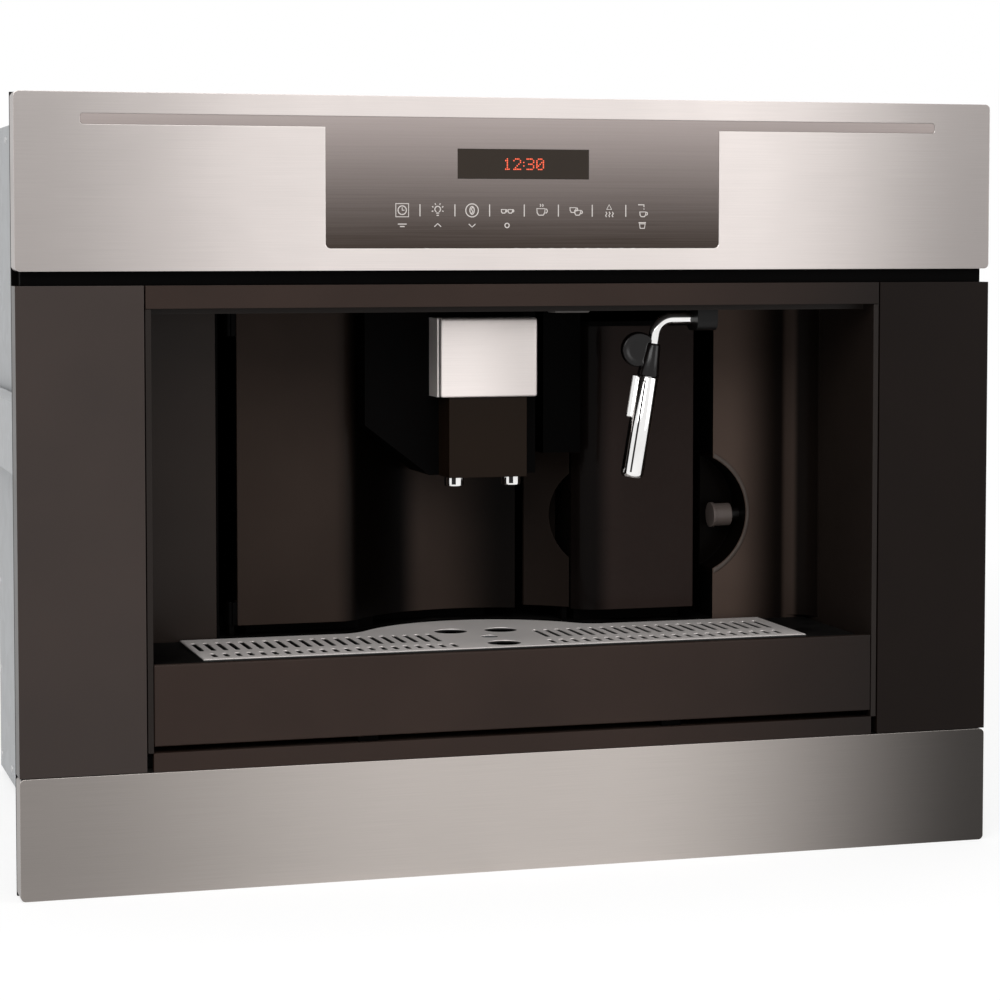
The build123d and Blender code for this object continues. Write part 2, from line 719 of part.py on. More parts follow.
y_board = y_front + GLASS_INSET + GLASS_T + MODULE_T
board_x = GLASS_W / 2 - BOARD_MARGIN
with BuildPart() as touch_board:
    block(
        (-board_x, y_board, glass_foot + BOARD_MARGIN),
        (board_x, y_board + BOARD_T, glass_top - BOARD_MARGIN),
    )
    block(
        (display_low[0], y_board - MODULE_T, display_low[1]),
        (display_high[0], y_board, display_high[1]),
    )
    for x, rise in CHIPS_AT:
        with Locations((x, y_board + BOARD_T + CHIP[1] / 2, glass_foot + rise)):
            Box(*CHIP)
    for side in (-1, 1):
        for z in (glass_foot + BOARD_MARGIN + 2 * POST_R, glass_top - BOARD_MARGIN - 2 * POST_R):
            x = side * (board_x - 2 * POST_R)
            rod((x, y_board - MODULE_T, z), (x, y_board, z), POST_R)
touch_board.part.label = "touch_board"
export_step(touch_board.part, "parts/touch_board.step")

for side, word in ((-1, "left"), (1, "right")):
    inner, outer = sorted((side * (x_side + PANEL_GAP), side * WIDTH / 2))
    with BuildPart() as side_panel:
        block((inner, y_front, z_strip + PANEL_GAP), (outer, -FRAME_T, z_shadow))
        block(
            (inner + MOULD_T, y_front + MOULD_T, z_strip + PANEL_GAP + MOULD_T),
            (outer - MOULD_T, 0, z_shadow - MOULD_T),
            mode=Mode.SUBTRACT,
        )
    side_panel.part.label = f"side_panel_{word}"
    export_step(side_panel.part, f"parts/side_panel_{word}.step")

with BuildPart() as top_rail:
    block((-x_side + PANEL_GAP, y_front, z_rail), (x_side - PANEL_GAP, -FRAME_T, z_shadow))
    block(
        (-x_side + PANEL_GAP + MOULD_T, y_front + MOULD_T, z_rail + MOULD_T),
        (x_side - PANEL_GAP - MOULD_T, 0, z_shadow - MOULD_T),
        mode=Mode.SUBTRACT,
    )
top_rail.part.label = "top_rail"
export_step(top_rail.part, "parts/top_rail.step")

with BuildPart() as lower_fascia:
    with BuildSketch(front_plane(fascia_depth)):
        add(lower_outside)
    extrude(amount=fascia_depth)
    with BuildSketch(front_plane(fascia_depth)):
        add(lower_inside)
    extrude(amount=fascia_depth - SKIN_T, mode=Mode.SUBTRACT)
lower_fascia.part.label = "lower_fascia"
export_step(lower_fascia.part, "parts/lower_fascia.step")

# ================================================================== cavity
y_liner = y_front + PANEL_GAP
y_liner_back = y_wall + WALL_T
ceiling_plan = plan_to_wall(-x_cavity - SEAT, x_cavity + SEAT, -FRAME_T, -WALL_T)

with BuildPart() as cavity_liner:
    for side in (-1, 1):
        inner, outer = sorted((side * x_cavity, side * (x_cavity + LINER_T)))
        block((inner, y_liner, z_deck), (outer, y_liner_back, z_ceiling + LINER_T))
    with BuildSketch(Plane.XY.offset(z_ceiling)):
        add(ceiling_plan)
    extrude(amount=LINER_T)
cavity_liner.part.label = "cavity_liner"
export_step(cavity_liner.part, "parts/cavity_liner.step")

with BuildPart() as tray_deck:
    block((-x_cavity, y_front, z_deck - MOULD_T), (x_cavity, y_niche + NICHE_R, z_deck))
    block((-x_cavity, y_front, z_strip + FIT), (x_cavity, y_front + STRIP_T, z_deck))
tray_deck.part.label = "tray_deck"
export_step(tray_deck.part, "parts/tray_deck.step")

left_panel_plan = wall_strip(-x_cavity, x_hinge_slot)
with BuildPart() as back_panel_left:
    with BuildSketch(Plane.XY.offset(z_deck)):
        add(left_panel_plan)
    extrude(amount=z_ceiling - z_deck)
back_panel_left.part.label = "back_panel_left"
export_step(back_panel_left.part, "parts/back_panel_left.step")

# finger recesses: the edge of each circle reaches a set way past the edge of its panel
left_cup_x = x_pillar_end - GRIP_LEFT_REACH + GRIP_R
right_cup_x = x_right_panel + GRIP_RIGHT_REACH - GRIP_R
cup_back = GRIP_DEPTH + GRIP_WALL
left_cup_back = NICHE_R + y_niche - y_wall + GRIP_WALL
z_plunger = z_grid + GRIP_HEIGHT - PLUNGER_DROP
y_plunger = y_wall + GRIP_DEPTH - PLUNGER_FLANGE_R - FIT

right_panel_plan = wall_strip(x_right_panel, x_cavity)
sweep_mid = CORNER_SWEEP_R * (1 - sqrt(0.5))
with BuildPart() as back_panel_right:
    with BuildSketch(Plane.XY.offset(z_deck)):
        add(right_panel_plan)
    extrude(amount=z_ceiling - z_deck)
    with BuildSketch(Plane.XY.offset(z_grid)):
        with BuildLine():
            Line((x_cavity, y_wall), (x_cavity, y_wall - CORNER_SWEEP_R))
            ThreePointArc(
                (x_cavity, y_wall - CORNER_SWEEP_R),
                (x_cavity - sweep_mid, y_wall - sweep_mid),
                (x_cavity - CORNER_SWEEP_R, y_wall),
            )
            Line((x_cavity - CORNER_SWEEP_R, y_wall), (x_cavity, y_wall))
        make_face()
    extrude(amount=z_ceiling - z_grid)
    finger_cup(right_cup_x, cup_back, GRIP_R + GRIP_WALL)
    finger_cup(right_cup_x, GRIP_DEPTH, GRIP_R, mode=Mode.SUBTRACT)
    block(
        (x_right_panel - wall_span, 0, z_deck - OVER),
        (x_right_panel, wall_span, z_ceiling + OVER),
        mode=Mode.SUBTRACT,
    )
    rod(
        (x_right_panel, y_plunger, z_plunger),
        (x_cavity, y_plunger, z_plunger),
        PLUNGER_STEM_R + SEAT,
        mode=Mode.SUBTRACT,
    )
back_panel_right.part.label = "back_panel_right"
export_step(back_panel_right.part, "parts/back_panel_right.step")

pillar_plan = wall_strip(x_pillar, x_pillar_end)
pillar_block_plan = plan_to_wall(x_pillar, x_pillar_end, y_wall - ARM_FRONT, 0)
z_arm_slope = z_slider + ARM_SLOPE
z_pillar_block = z_slider + PILLAR_BLOCK_RISE
with BuildPart() as centre_pillar:
    with BuildSketch(Plane.XY.offset(z_grid + PILLAR_FOOT)):
        add(pillar_plan)
    extrude(amount=z_ceiling - z_grid - PILLAR_FOOT)
    finger_cup(left_cup_x, left_cup_back, GRIP_R + GRIP_WALL)
    finger_cup(left_cup_x, left_cup_back - GRIP_WALL, GRIP_R, mode=Mode.SUBTRACT)
    block(
        (x_pillar_end, 0, z_deck - OVER),
        (x_pillar_end + wall_span, wall_span, z_ceiling + OVER),
        mode=Mode.SUBTRACT,
    )
    with BuildSketch(Plane.XY.offset(z_deck)):
        add(space_in_front(0))
    extrude(amount=z_ceiling - z_deck, mode=Mode.SUBTRACT)
    with BuildSketch(Plane.XY.offset(z_pillar_block)):
        add(pillar_block_plan)
    extrude(amount=z_ceiling - z_pillar_block)
centre_pillar.part.label = "centre_pillar"
export_step(centre_pillar.part, "parts/centre_pillar.step")

with BuildPart() as light_lens:
    with Locations((LENS_X, y_front + SPOUT_DEPTH, z_ceiling - LENS[2] / 2)):
        Box(*LENS)
    chamfer(light_lens.faces().sort_by(Axis.Z)[0].edges(), length=EDGE)
light_lens.part.label = "light_lens"
export_step(light_lens.part, "parts/light_lens.step")

with BuildPart() as catch_plunger:
    x_tip = x_right_panel + PLUNGER_INSET
    x_drum_end = x_right_panel + GRIP_RIGHT_REACH - PLUNGER_TRAVEL - PLUNGER_STOP
    rod((x_tip, y_plunger, z_plunger), (x_drum_end, y_plunger, z_plunger), PLUNGER_R)
    rod((x_tip, y_plunger, z_plunger), (x_tip + PLUNGER_FLANGE_T, y_plunger, z_plunger), PLUNGER_FLANGE_R)
    rod(
        (x_tip, y_plunger, z_plunger),
        (right_cup_x + GRIP_R + 2 * GRIP_WALL, y_plunger, z_plunger),
        PLUNGER_STEM_R,
    )
catch_plunger.part.label = "catch_plunger"
export_step(catch_plunger.part, "parts/catch_plunger.step")

# ================================================================== bays behind the wall
y_bay_back = y_wall + WALL_T + BAY_L
duct_x = CHUTE_X - CHUTE_R + DUCT_R
bay_front_cut = space_in_front(WALL_T + FIT)
x_divider = (x_pillar_end - MOULD_T, x_pillar_end)

with BuildPart() as inner_housing:
    block(
        (x_hinge_slot, y_wall + WALL_T + FIT, z_grid - MOULD_T),
        (x_right_panel + MOULD_T, y_bay_back + MOULD_T, z_ceiling + MOULD_T),
    )
    block(
        (x_hinge_slot + MOULD_T, y_wall, z_grid),
        (x_divider[0], y_bay_back, z_ceiling),
        mode=Mode.SUBTRACT,
    )
    block((x_divider[1], y_wall, z_grid), (x_right_panel, y_bay_back, z_ceiling), mode=Mode.SUBTRACT)
    with BuildSketch(Plane.XY.offset(z_grid - 2 * MOULD_T)):
        add(bay_front_cut)
    extrude(amount=z_ceiling, mode=Mode.SUBTRACT)
    finger_cup(left_cup_x, left_cup_back + FIT, GRIP_R + GRIP_WALL + FIT, mode=Mode.SUBTRACT)
    finger_cup(right_cup_x, cup_back + FIT, GRIP_R + GRIP_WALL + FIT, mode=Mode.SUBTRACT)
    block(
        (x_hinge_slot - OVER, y_wall, z_door - FIT),
        (x_hinge_slot + MOULD_T + OVER, y_hinge - HINGE_INSET + FIT, z_door_top + FIT),
        mode=Mode.SUBTRACT,
    )
    for z in (z_grid - HINGE_PIN_REACH, z_ceiling):
        rod((x_hinge, y_hinge, z), (x_hinge, y_hinge, z + HINGE_PIN_REACH), PIN_R + RUN, mode=Mode.SUBTRACT)
    y_post = y_bay_back - BAY_POST_INSET
    for x in (x_hinge_slot + BAY_POST_INSET, x_right_panel - BAY_POST_INSET):
        rod((x, y_post, z_chassis + SHEET_T), (x, y_post, z_grid - MOULD_T), BAY_POST_R)
    block(
        (x_tank + DOCK_MARGIN, y_wall + 4 * DOCK_MARGIN, z_grid),
        (x_tank_end - DOCK_MARGIN, y_wall + TANK_L, z_grid + DOCK_T),
    )
    rod((HOSE_X, HOSE_Y, z_grid - MOULD_T - NIPPLE_L), (HOSE_X, HOSE_Y, z_grid), NIPPLE_R)
    rod(
        (duct_x, GRINDER_Y, z_ceiling - OVER),
        (duct_x, GRINDER_Y, z_ceiling + 2 * MOULD_T),
        DUCT_R + FIT,
        mode=Mode.SUBTRACT,
    )
inner_housing.part.label = "inner_housing"
export_step(inner_housing.part, "parts/inner_housing.step")

z_tank = z_grid + DOCK_T + SEAT


def tank_shape(inset):
    """Plan of the tank, with its walls moved in."""
    with BuildSketch(mode=Mode.PRIVATE) as shape:
        with Locations(((x_tank + x_tank_end) / 2, y_wall + TANK_L / 2)):
            Rectangle(TANK_W - 2 * inset, TANK_L - 2 * inset)
        add(space_in_front(inset), mode=Mode.SUBTRACT)
    return shape.sketch


tank_outside = tank_shape(0)
tank_inside = tank_shape(TANK_WALL)
tank_lip = tank_shape(TANK_WALL + FIT)
tank_lip_inside = tank_shape(2 * TANK_WALL)
z_tank_lid = z_tank + TANK_H - TANK_LID_T

with BuildPart() as water_tank:
    with BuildSketch(Plane.XY.offset(z_tank)):
        add(tank_outside)
    extrude(amount=z_tank_lid - z_tank)
    with BuildSketch(Plane.XY.offset(z_tank + TANK_WALL)):
        add(tank_inside)
    extrude(amount=TANK_H, mode=Mode.SUBTRACT)
water_tank.part.label = "water_tank"
export_step(water_tank.part, "parts/water_tank.step")

with BuildPart() as tank_lid:
    with BuildSketch(Plane.XY.offset(z_tank_lid)):
        add(tank_outside)
    extrude(amount=TANK_LID_T)
    with BuildSketch(Plane.XY.offset(z_tank_lid)):
        add(tank_lip)
        add(tank_lip_inside, mode=Mode.SUBTRACT)
    extrude(amount=-TANK_LIP)
tank_lid.part.label = "tank_lid"
export_step(tank_lid.part, "parts/tank_lid.step")

# ================================================================== drip tray
grid_left = GRID_LEFT_GAP - x_cavity
grid_right = x_cavity - GRID_RIGHT_GAP
tray_x = x_cavity - TRAY_SIDE_GAP
y_tray = y_front + TRAY_FACE_T
y_grid = y_front + GRID_FRONT_DEPTH
z_tray_rim = z_grid - TRAY_RIM_DROP
z_ledge = z_grid - GRID_H
z_tray_floor = z_tray + TRAY_WALL
tray_plan = plan_to_wall(-tray_x, tray_x, y_tray, TRAY_BACK_GAP)
well_plan = plan_to_wall(grid_left - FIT, grid_right + FIT, y_grid - FIT, WELL_BACK_GAP)
basin_plan = plan_to_wall(
    grid_left + LEDGE, grid_right - LEDGE, y_grid + LEDGE, WELL_BACK_GAP + LEDGE + FIT
)
float_place = (NICHE_X, y_front + FLOAT_DEPTH)

with BuildPart() as drip_tray:
    with BuildSketch(Plane.XY.offset(z_tray)):
        add(tray_plan)
    extrude(amount=z_tray_rim - z_tray)
    with BuildSketch(Plane.XY.offset(z_ledge)):
        add(well_plan)
    extrude(amount=GRID_H, mode=Mode.SUBTRACT)
    with BuildSketch(Plane.XY.offset(z_tray_floor)):
        add(basin_plan)
    extrude(amount=TRAY_FRONT_H, mode=Mode.SUBTRACT)
    block(
        (-tray_x - OVER, y_tray - OVER, z_tray_rim - TRAY_RECESS_H),
        (tray_x + OVER, y_tray + TRAY_RECESS_W, z_tray_rim + OVER),
        mode=Mode.SUBTRACT,
    )
    for low, high in (
        (-tray_x + TRAY_WALL, grid_left - TRAY_WALL),
        (grid_right + TRAY_WALL, tray_x - TRAY_WALL),
    ):
        block(
            (low, y_tray + TRAY_WALL, z_tray - OVER),
            (high, y_wall - TRAY_BACK_GAP - TRAY_WALL, z_tray_rim - TRAY_RECESS_H - TRAY_WALL),
            mode=Mode.SUBTRACT,
        )
    for x in (grid_left / 2, grid_right / 2):
        block(
            (x - SKID_W / 2, y_tray, z_deck + SEAT),
            (x + SKID_W / 2, y_wall - TRAY_BACK_GAP, z_tray),
        )
drip_tray.part.label = "drip_tray"
export_step(drip_tray.part, "parts/drip_tray.step")

with BuildPart() as tray_front:
    block((-x_cavity + PANEL_GAP, y_front, z_tray), (x_cavity - PANEL_GAP, y_tray, z_grid))
    chamfer(tray_front.faces().filter_by(Axis.Y).sort_by(Axis.Y)[0].edges(), length=EDGE)
tray_front.part.label = "tray_front"
export_step(tray_front.part, "parts/tray_front.step")

grid_plan = plan_to_wall(grid_left, grid_right, y_grid, GRID_BACK_GAP)
grid_inside_plan = plan_to_wall(
    grid_left + GRID_T, grid_right - GRID_T, y_grid + GRID_T, GRID_BACK_GAP + GRID_T
)
slots_each_side = {
    -1: int((NICHE_X - grid_left - SLOT_FREE - SLOT_PITCH / 2) / SLOT_PITCH),
    1: int((grid_right - NICHE_X - SLOT_FREE - SLOT_PITCH / 2) / SLOT_PITCH),
}

with BuildPart() as drip_grid:
    with BuildSketch(Plane.XY.offset(z_ledge + SEAT)):
        add(grid_plan)
    extrude(amount=z_grid - z_ledge - SEAT)
    fillet(drip_grid.faces().sort_by(Axis.Z)[-1].edges(), radius=GRID_EDGE_R)
    with BuildSketch(Plane.XY.offset(z_ledge)):
        add(grid_inside_plan)
    extrude(amount=GRID_H - GRID_T, mode=Mode.SUBTRACT)
    with BuildSketch(Plane.XY.offset(z_grid - GRID_T - OVER)):
        for side, count in slots_each_side.items():
            for index in range(count):
                x = NICHE_X + side * (SLOT_FREE + SLOT_PITCH * (index + 0.5))
                with Locations((x, y_front + SLOT_SHORT_DEPTH)):
                    SlotOverall(SLOT_SHORT, SLOT_W, rotation=90)
                with Locations((x + side * SLOT_PITCH / 2, y_front + SLOT_LONG_DEPTH)):
                    SlotOverall(SLOT_LONG, SLOT_W, rotation=90)
        for x, depth in DISH_HOLES:
            with Locations((NICHE_X + x, y_front + depth)):
                Circle(DISH_HOLE_R)
        with Locations(float_place):
            Circle(FLOAT_HOLE_R)
    extrude(amount=GRID_T + 2 * OVER, mode=Mode.SUBTRACT)
drip_grid.part.label = "drip_grid"
export_step(drip_grid.part, "parts/drip_grid.step")

with BuildPart() as tray_float:
    with Locations((*float_place, z_tray_floor + SEAT)):
        Cylinder(FLOAT_FOOT_R, FLOAT_FOOT_H, align=(Align.CENTER, Align.CENTER, Align.MIN))
        Cylinder(
            FLOAT_R,
            z_grid - z_tray_floor - SEAT,
            align=(Align.CENTER, Align.CENTER, Align.MIN),
        )
    fillet(tray_float.edges().sort_by(Axis.Z)[-1], radius=FLOAT_R * 0.4)
tray_float.part.label = "tray_float"
export_step(tray_float.part, "parts/tray_float.step")

# ================================================================== service door and spout
door_plan = wall_strip(x_door, x_door_end)
arm_plan = plan_to_wall(NICHE_X - ARM_LEFT, x_door_end, y_wall - ARM_FRONT, 0)
y_spout = y_front + SPOUT_DEPTH
y_arm = y_wall - ARM_FRONT
y_nozzle = (y_spout + SLIDER_INSET + y_arm) / 2
nozzle_x = [NICHE_X + side * NOZZLE_PITCH / 2 for side in (-1, 1)]
spout_x = (NICHE_X - SPOUT_W / 2, NICHE_X + SPOUT_W / 2)

with BuildPart() as service_door:
    with BuildSketch(Plane.XY.offset(z_door)):
        add(door_plan)
    extrude(amount=z_door_top - z_door)
    for z in (z_door, z_door_top - BARREL_L):
        block((x_hinge, y_wall + WALL_T / 2, z), (x_door + MOULD_T, y_hinge, z + BARREL_L))
        rod((x_hinge, y_hinge, z), (x_hinge, y_hinge, z + BARREL_L), BARREL_R)
    rod((x_hinge, y_hinge, z_grid - HINGE_PIN_REACH + SEAT), (x_hinge, y_hinge, z_door), PIN_R)
    rod((x_hinge, y_hinge, z_door_top), (x_hinge, y_hinge, z_ceiling + HINGE_PIN_REACH - SEAT), PIN_R)
service_door.part.label = "service_door"
export_step(service_door.part, "parts/service_door.step")

with BuildPart() as spout_arm:
    with BuildSketch(Plane.XY.offset(z_slider)):
        add(arm_plan)
    extrude(amount=z_door_top - z_slider)
    with BuildSketch(front_plane(0)):
        with BuildLine():
            Polyline(
                (NICHE_X - ARM_LEFT - OVER, z_slider - OVER),
                (spout_x[0], z_slider - OVER),
                (spout_x[0], z_slider),
                (NICHE_X - ARM_LEFT - OVER, z_arm_slope + OVER),
                close=True,
            )
        make_face()
    extrude(amount=-2 * WALL_DEPTH, mode=Mode.SUBTRACT)
    block(
        (NICHE_X - ARM_LEFT + MOULD_T, y_wall - ARM_FRONT + MOULD_T, z_arm_slope + MOULD_T),
        (x_door_end - MOULD_T, y_wall + MOULD_T, z_door_top + OVER),
        mode=Mode.SUBTRACT,
    )
spout_arm.part.label = "spout_arm"
export_step(spout_arm.part, "parts/spout_arm.step")

with BuildPart() as spout_cover:
    block((spout_x[0], y_spout, z_spout), (spout_x[1], y_arm, z_spout_top))
    block(
        (spout_x[0] + COVER_T, y_spout + COVER_T, z_spout - OVER),
        (spout_x[1] - COVER_T, y_arm + OVER, z_spout_top - COVER_T),
        mode=Mode.SUBTRACT,
    )
spout_cover.part.label = "spout_cover"
export_step(spout_cover.part, "parts/spout_cover.step")

slider_x = (NICHE_X - SLIDER_W / 2, NICHE_X + SLIDER_W / 2)
with BuildPart() as spout_slider:
    block(
        (slider_x[0], y_spout + SLIDER_INSET, z_slider),
        (slider_x[1], y_arm - FIT, z_spout + SLIDER_LAP),
    )
    for x in nozzle_x:
        rod((x, y_nozzle, z_slider - OVER), (x, y_nozzle, z_spout), NOZZLE_BORE_R, mode=Mode.SUBTRACT)
spout_slider.part.label = "spout_slider"
export_step(spout_slider.part, "parts/spout_slider.step")

z_nozzle = z_slider - NOZZLE_DROP
with BuildPart() as spout_nozzles:
    for x in nozzle_x:
        rod((x, y_nozzle, z_nozzle), (x, y_nozzle, z_slider), NOZZLE_R)
        rod((x, y_nozzle, z_nozzle - OVER), (x, y_nozzle, z_slider + OVER), NOZZLE_BORE_R, mode=Mode.SUBTRACT)
spout_nozzles.part.label = "spout_nozzles"
export_step(spout_nozzles.part, "parts/spout_nozzles.step")

# ================================================================== steam wand
y_wand = y_front + WAND_DEPTH
z_wand = z_ceiling - WAND_DROP
tilt = radians(WAND_TILT)
x_bend = WAND_X - WAND_LEG


def along_wand(distance, aside=0.0):
    """A point along the hanging wand, measured from its bend."""
    return (
        x_bend - distance * sin(tilt) - aside * cos(tilt),
        y_wand,
        z_wand - distance * cos(tilt) + aside * sin(tilt),
    )


with BuildPart() as wand_bracket:
    block(
        (WAND_X, y_wand - BRACKET_W / 2, z_ceiling - BRACKET_H),
        (WAND_X + BRACKET_L, y_wand + BRACKET_W / 2, z_ceiling),
    )
    fillet(
        wand_bracket.edges().filter_by(Axis.X).group_by(Axis.Z)[0],
        radius=BRACKET_R,
    )
    rod(
        (WAND_X - OVER, y_wand, z_wand),
        (WAND_X + BRACKET_L + OVER, y_wand, z_wand),
        WAND_R + RUN,
        mode=Mode.SUBTRACT,
    )
wand_bracket.part.label = "wand_bracket"
export_step(wand_bracket.part, "parts/wand_bracket.step")

grip_foot = GRIP_TOP + GRIP_L
wand_end = along_wand(grip_foot + FROTHER_TRAVEL + FROTHER_HOLD)
with BuildPart() as wand_tube:
    with BuildLine():
        FilletPolyline(
            (WAND_X + BRACKET_L, y_wand, z_wand),
            along_wand(0),
            wand_end,
            radius=WAND_BEND_R,
        )
    with BuildSketch(Plane(origin=(WAND_X + BRACKET_L, y_wand, z_wand), z_dir=(-1, 0, 0))):
        Circle(WAND_R)
    sweep()
wand_tube.part.label = "wand_tube"
export_step(wand_tube.part, "parts/wand_tube.step")

wand_down = Plane(origin=along_wand(GRIP_TOP), z_dir=Vector(*along_wand(1)) - Vector(*along_wand(0)))
with BuildPart() as wand_grip:
    with Locations(wand_down):
        Cone(GRIP_TOP_R, GRIP_FOOT_R, GRIP_L, align=(Align.CENTER, Align.CENTER, Align.MIN))
    disc = along_wand(DISC_DROP, DISC_X)
    rod((disc[0], y_wand - DISC_T / 2, disc[2]), (disc[0], y_wand + DISC_T / 2, disc[2]), DISC_R)
    rod(
        along_wand(DISC_DROP - DISC_R - OVER),
        along_wand(grip_foot + OVER),
        WAND_R + SEAT,
        mode=Mode.SUBTRACT,
    )
wand_grip.part.label = "wand_grip"
export_step(wand_grip.part, "parts/wand_grip.step")

with BuildPart() as frother_tube:
    rod(along_wand(grip_foot + FIT), along_wand(grip_foot + FROTHER_L), FROTHER_R)
    air_aside = FROTHER_R + AIR_PIPE_R - AIR_PIPE_SINK
    rod(
        along_wand(grip_foot + FIT, air_aside),
        along_wand(grip_foot + AIR_PIPE_L, air_aside),
        AIR_PIPE_R,
    )
    rod(
        along_wand(grip_foot + FIT + FROTHER_COLLAR),
        along_wand(grip_foot + FROTHER_L + OVER),
        FROTHER_R - FROTHER_T,
        mode=Mode.SUBTRACT,
    )
    rod(
        along_wand(grip_foot - OVER),
        along_wand(grip_foot + FIT + FROTHER_COLLAR + OVER),
        WAND_R + SEAT,
        mode=Mode.SUBTRACT,
    )
frother_tube.part.label = "frother_tube"
export_step(frother_tube.part, "parts/frother_tube.step")

# ================================================================== brewing group behind the door
y_infuser = y_wall + INFUSER_BACK
y_screw = y_infuser + SCREW_BACK
y_infuser_plate = (y_infuser - INFUSER_FRONT, y_screw + SCREW_COLLAR_R + SCREW_MARGIN)
infuser_x = (INFUSER_X - INFUSER_W / 2, INFUSER_X + INFUSER_W / 2)
z_infuser_top = z_ceiling - INFUSER_DROP
z_nut = z_grid + INFUSER_PLATE + NUT_FOOT
z_chamber_top = z_infuser_top - INFUSER_PLATE - CHAMBER_DROP
piston_room = z_chamber_top - z_nut - NUT_H - NUT_GAP - PISTON_LIFT - PISTON_T - CHAMBER_HEAD
piston_travel = piston_room / 2     # once under the chamber, once in it
z_chamber = z_nut + NUT_H + piston_travel + NUT_GAP
z_piston = z_chamber + PISTON_LIFT
z_screw = z_grid + INFUSER_PLATE - SCREW_SEAT
chamber_h = z_chamber_top - z_chamber

with BuildPart() as infuser_frame:
    for z in (z_grid, z_infuser_top - INFUSER_PLATE):
        block((infuser_x[0], y_infuser_plate[0], z), (infuser_x[1], y_infuser_plate[1], z + INFUSER_PLATE))
    block(
        (infuser_x[0], y_infuser_plate[1], z_grid),
        (infuser_x[1], y_infuser_plate[1] + INFUSER_PLATE / 2, z_infuser_top),
    )
    with Locations((INFUSER_X, y_infuser, z_chamber)):
        Cylinder(CHAMBER_R + CHAMBER_T, chamber_h, align=(Align.CENTER, Align.CENTER, Align.MIN))
    for side in (-1, 1):
        web = sorted(INFUSER_X + side * (CHAMBER_R + CHAMBER_T - reach) for reach in (0, CHAMBER_WEB))
        block((web[0], y_infuser, z_chamber), (web[1], y_infuser_plate[1], z_chamber + chamber_h))
    rod(
        (INFUSER_X, y_infuser, z_chamber - OVER),
        (INFUSER_X, y_infuser, z_chamber + chamber_h + OVER),
        CHAMBER_R,
        mode=Mode.SUBTRACT,
    )
    rod(
        (INFUSER_X, y_screw, z_screw),
        (INFUSER_X, y_screw, z_infuser_top + OVER),
        SCREW_R + RUN,
        mode=Mode.SUBTRACT,
    )
infuser_frame.part.label = "infuser_frame"
export_step(infuser_frame.part, "parts/infuser_frame.step")

with BuildPart() as brew_piston:
    rod((INFUSER_X, y_infuser, z_piston), (INFUSER_X, y_infuser, z_piston + PISTON_T), PISTON_R)
    rod((INFUSER_X, y_infuser, z_nut), (INFUSER_X, y_infuser, z_piston), STEM_R)
    block((INFUSER_X - STEM_R, y_infuser, z_nut), (INFUSER_X + STEM_R, y_screw, z_nut + NUT_H))
    rod((INFUSER_X, y_screw, z_nut), (INFUSER_X, y_screw, z_nut + NUT_H), NUT_R)
    rod(
        (INFUSER_X, y_screw, z_nut - OVER),
        (INFUSER_X, y_screw, z_nut + NUT_H + OVER),
        SCREW_R + RUN,
        mode=Mode.SUBTRACT,
    )
brew_piston.part.label = "brew_piston"
export_step(brew_piston.part, "parts/brew_piston.step")

with BuildPart() as drive_screw:
    z_collar = z_grid + INFUSER_PLATE + SEAT
    rod((INFUSER_X, y_screw, z_screw + SEAT), (INFUSER_X, y_screw, z_infuser_top), SCREW_R)
    rod((INFUSER_X, y_screw, z_collar), (INFUSER_X, y_screw, z_collar + SCREW_COLLAR_H), SCREW_COLLAR_R)
drive_screw.part.label = "drive_screw"
export_step(drive_screw.part, "parts/drive_screw.step")


def grounds_plan(inset):
    """Plan of the grounds container, shaped to the back of the door."""
    left = x_door + GROUNDS_MARGIN / 2
    front = y_wall + GROUNDS_MARGIN
    with BuildSketch(mode=Mode.PRIVATE) as plan:
        with Locations((left + GROUNDS_W / 2, front + GROUNDS_L / 2)):
            Rectangle(GROUNDS_W - 2 * inset, GROUNDS_L - 2 * inset)
        add(space_in_front(WALL_T + GROUNDS_T + inset), mode=Mode.SUBTRACT)
    return plan.sketch


grounds_outside = grounds_plan(0)
grounds_inside = grounds_plan(GROUNDS_T)
with BuildPart() as grounds_container:
    with BuildSketch(Plane.XY.offset(z_grid)):
        add(grounds_outside)
    extrude(amount=GROUNDS_H)
    with BuildSketch(Plane.XY.offset(z_grid + GROUNDS_T)):
        add(grounds_inside)
    extrude(amount=GROUNDS_H, mode=Mode.SUBTRACT)
grounds_container.part.label = "grounds_container"
export_step(grounds_container.part, "parts/grounds_container.step")

# ================================================================== grinder and bean container
z_grinder = z_ceiling + MOULD_T
z_burr = z_grinder + GEARCASE_H + MOULD_T
z_grinder_top = z_grinder + GRINDER_H

with BuildPart() as grinder_housing:
    rod((GRINDER_X, GRINDER_Y, z_grinder), (GRINDER_X, GRINDER_Y, z_grinder_top), GRINDER_R)
    gearcase_x = sorted((GRINDER_X, MOTOR_X))
    block(
        (gearcase_x[0], GRINDER_Y - MOTOR_R, z_grinder),
        (gearcase_x[1], GRINDER_Y + MOTOR_R, z_grinder + GEARCASE_H),
    )
    rod((MOTOR_X, GRINDER_Y, z_grinder), (MOTOR_X, GRINDER_Y, z_grinder + GEARCASE_H), MOTOR_R)
    rod(
        (GRINDER_X, GRINDER_Y, z_burr - MOULD_T),
        (GRINDER_X, GRINDER_Y, z_grinder_top + OVER),
        BURR_R + FIT,
        mode=Mode.SUBTRACT,
    )
    rod(
        (GRINDER_X, GRINDER_Y, z_grinder + MOULD_T),
        (GRINDER_X, GRINDER_Y, z_grinder_top),
        BURR_SHAFT_R + RUN,
        mode=Mode.SUBTRACT,
    )
    rod(
        (MOTOR_X, GRINDER_Y, z_grinder + MOULD_T),
        (MOTOR_X, GRINDER_Y, z_grinder_top),
        BURR_SHAFT_R + SEAT,
        mode=Mode.SUBTRACT,
    )
grinder_housing.part.label = "grinder_housing"
